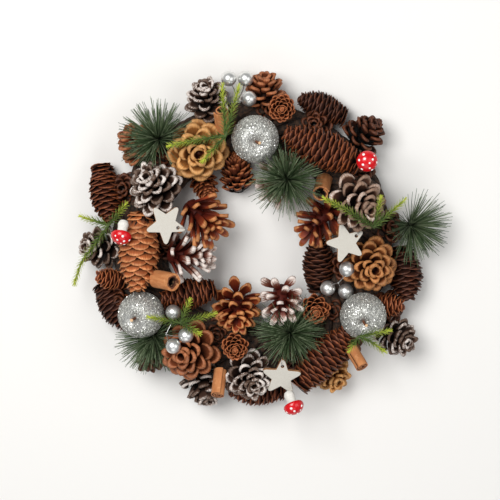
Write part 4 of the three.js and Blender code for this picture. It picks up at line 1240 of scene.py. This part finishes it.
for name, (at, fingers) in SPRIGS.items():
    points = node_points(name)
    high = max((point - AIM).dot(TOWARD) for point in points if aside(point, at) < 4 * MM)
    joint = seen_at(at, high - 2 * MM)
    foot = min((point for point in points if aside(point, at) < 9 * MM), key=lambda point: point.dot(TOWARD))
    sprig = new_bmesh()
    twigs = new_bmesh()
    add_tube(twigs, [foot, joint], 1.3 * MM)
    for finger in fingers:
        knots = [joint, *(seen_at(spot, level_at(points, spot, 6 * MM)) for spot in finger)]
        line = smooth_line(knots, 12)
        add_tube(twigs, line, 1.2 * MM, 0.5)
        total = sum((b - a).length for a, b in zip(line, line[1:]))
        walked = 0.0
        step = 0
        for a, b in zip(line, line[1:]):
            stride = (b - a).length
            way = (b - a).normalized()
            side = way.cross(TOWARD).normalized()
            while step * FIR_STEP < walked + stride:
                here = a + way * (step * FIR_STEP - walked)
                t = step * FIR_STEP / total
                roll = step * GOLDEN
                out = side * math.cos(roll) + side.cross(way) * math.sin(roll)
                lean = math.radians(48 - 12 * t)
                needle_way = out * math.sin(lean) + way * math.cos(lean)
                swell = 0.75 + 0.25 * math.sin(math.pi * min(1.0, t + 0.25))
                length = FIR_LENGTH * swell * draw.uniform(0.85, 1.1)
                across = needle_way.cross(out).normalized() * FIR_WIDTH
                matrix = basis(here, across, needle_way * length, out * FIR_WIDTH)
                tone = draw.random()
                young = min(1.0, max(0.0, t + draw.uniform(-0.1, 0.1)))
                stamp(sprig, FIR_NEEDLE, matrix, tone=tone, across=young)
                step += 1
            walked += stride
        for _ in range(9):
            spread = Vector([draw.gauss(0, 0.22) for _ in range(3)])
            end_way = (way + spread).normalized()
            roll = draw.uniform(0, 6)
            length = FIR_LENGTH * 0.8
            stamp_needle(sprig, FIR_NEEDLE, line[-1], end_way, length, FIR_WIDTH, roll, tone=0.3, across=1.0)
    print(name, len(sprig.faces), "faces")
    add_piece(name + "_needles", sprig, [FIR], "fir_needles", (name,))
    add_piece(name + "_twigs", twigs, [FIR_TWIG], "fir_needles")

# %% [markdown]
# Under everything lies the ring: several stems of vine, wound round one another. Each stem is a tube along
# a slow helix. Its dark brown is partly the vine's own colour and partly painted shade, so that the gaps
# between the cones stay dark.

# %% Vine ring
RING_RADIUS = 109 * MM
STEMS = 11
INNER_STEMS = 6
STEM_RADIUS = 4.4 * MM
TURNS = 5
RING_POINTS = 150


def vine_and_gap_shade_finish():
    material, tree, shader = new_material("vine")
    grain = noise(tree, 300.0, 6.0)
    # painted shade: the vine is painted dark brown so that the gaps between the cones look shaded
    color = mixed(tree, ramped(tree, grain, 0.35, 0.7), paint(26, 18, 14), paint(74, 52, 36))
    fill(tree, shader, {"Base Color": color, "Roughness": 0.9})
    bump(tree, shader, grain, 0.8, 0.0015)
    return material


VINE_AND_GAP_SHADE = vine_and_gap_shade_finish()
breadth = (ring_high.x - ring_middle.x) - RING_RADIUS - STEM_RADIUS
depth = ring_high.z / 2 - STEM_RADIUS
vines = new_bmesh()
for stem in range(STEMS + INNER_STEMS):
    share = 1.0 if stem < STEMS else 0.48
    line = []
    for k in range(RING_POINTS + 1):
        around = 2 * math.pi * k / RING_POINTS
        turned = 2 * math.pi * stem / (STEMS if stem < STEMS else INNER_STEMS) + TURNS * around
        wobble = 1 + 0.06 * math.sin(3 * around + stem)
        out = RING_RADIUS + breadth * share * wobble * math.cos(turned)
        height = ring_high.z / 2 + depth * share * math.sin(turned)
        x = ring_middle.x + out * math.cos(around)
        y = ring_middle.y + out * math.sin(around)
        line.append(Vector((x, y, height)))
    add_tube(vines, line, STEM_RADIUS, 1.0, 2)
print("vine:", len(vines.faces), "faces")
add_piece("vine_stems", vines, [VINE_AND_GAP_SHADE], "vine", ("vine_ring",))

# %% [markdown]
# The wreath lies on a pale floor under one large soft lamp and two weaker ones, as on a photo table.

# %% Floor and light
def floor_finish():
    material, tree, shader = new_material("pale floor")
    fill(tree, shader, {"Base Color": paint(232, 230, 226), "Roughness": 0.9})
    return material


bpy.ops.mesh.primitive_plane_add(size=8)
floor = bpy.context.object
floor.name = "floor"
floor.data.materials.append(floor_finish())

# where each lamp stands, its size and its power
LAMPS = (((-0.5, 0.6, 1.4), 0.8, 25), ((0.9, 0.1, 1.1), 0.9, 5), ((0.0, -1.0, 1.0), 1.0, 4))
for place, size, power in LAMPS:
    lamp_data = bpy.data.lights.new("lamp", "AREA")
    lamp_data.size = size
    lamp_data.energy = power
    lamp = bpy.data.objects.new("lamp", lamp_data)
    bpy.context.scene.collection.objects.link(lamp)
    lamp.matrix_world = placed(Vector(place).normalized(), Vector(place) + Vector((AIM.x, AIM.y, 0)))

world = bpy.data.worlds.new("studio")
world.use_nodes = True
fill(world.node_tree, world.node_tree.nodes["Background"], {0: paint(240, 242, 246), 1: 0.24})
bpy.context.scene.world = world
bpy.context.scene.view_settings.view_transform = "Standard"
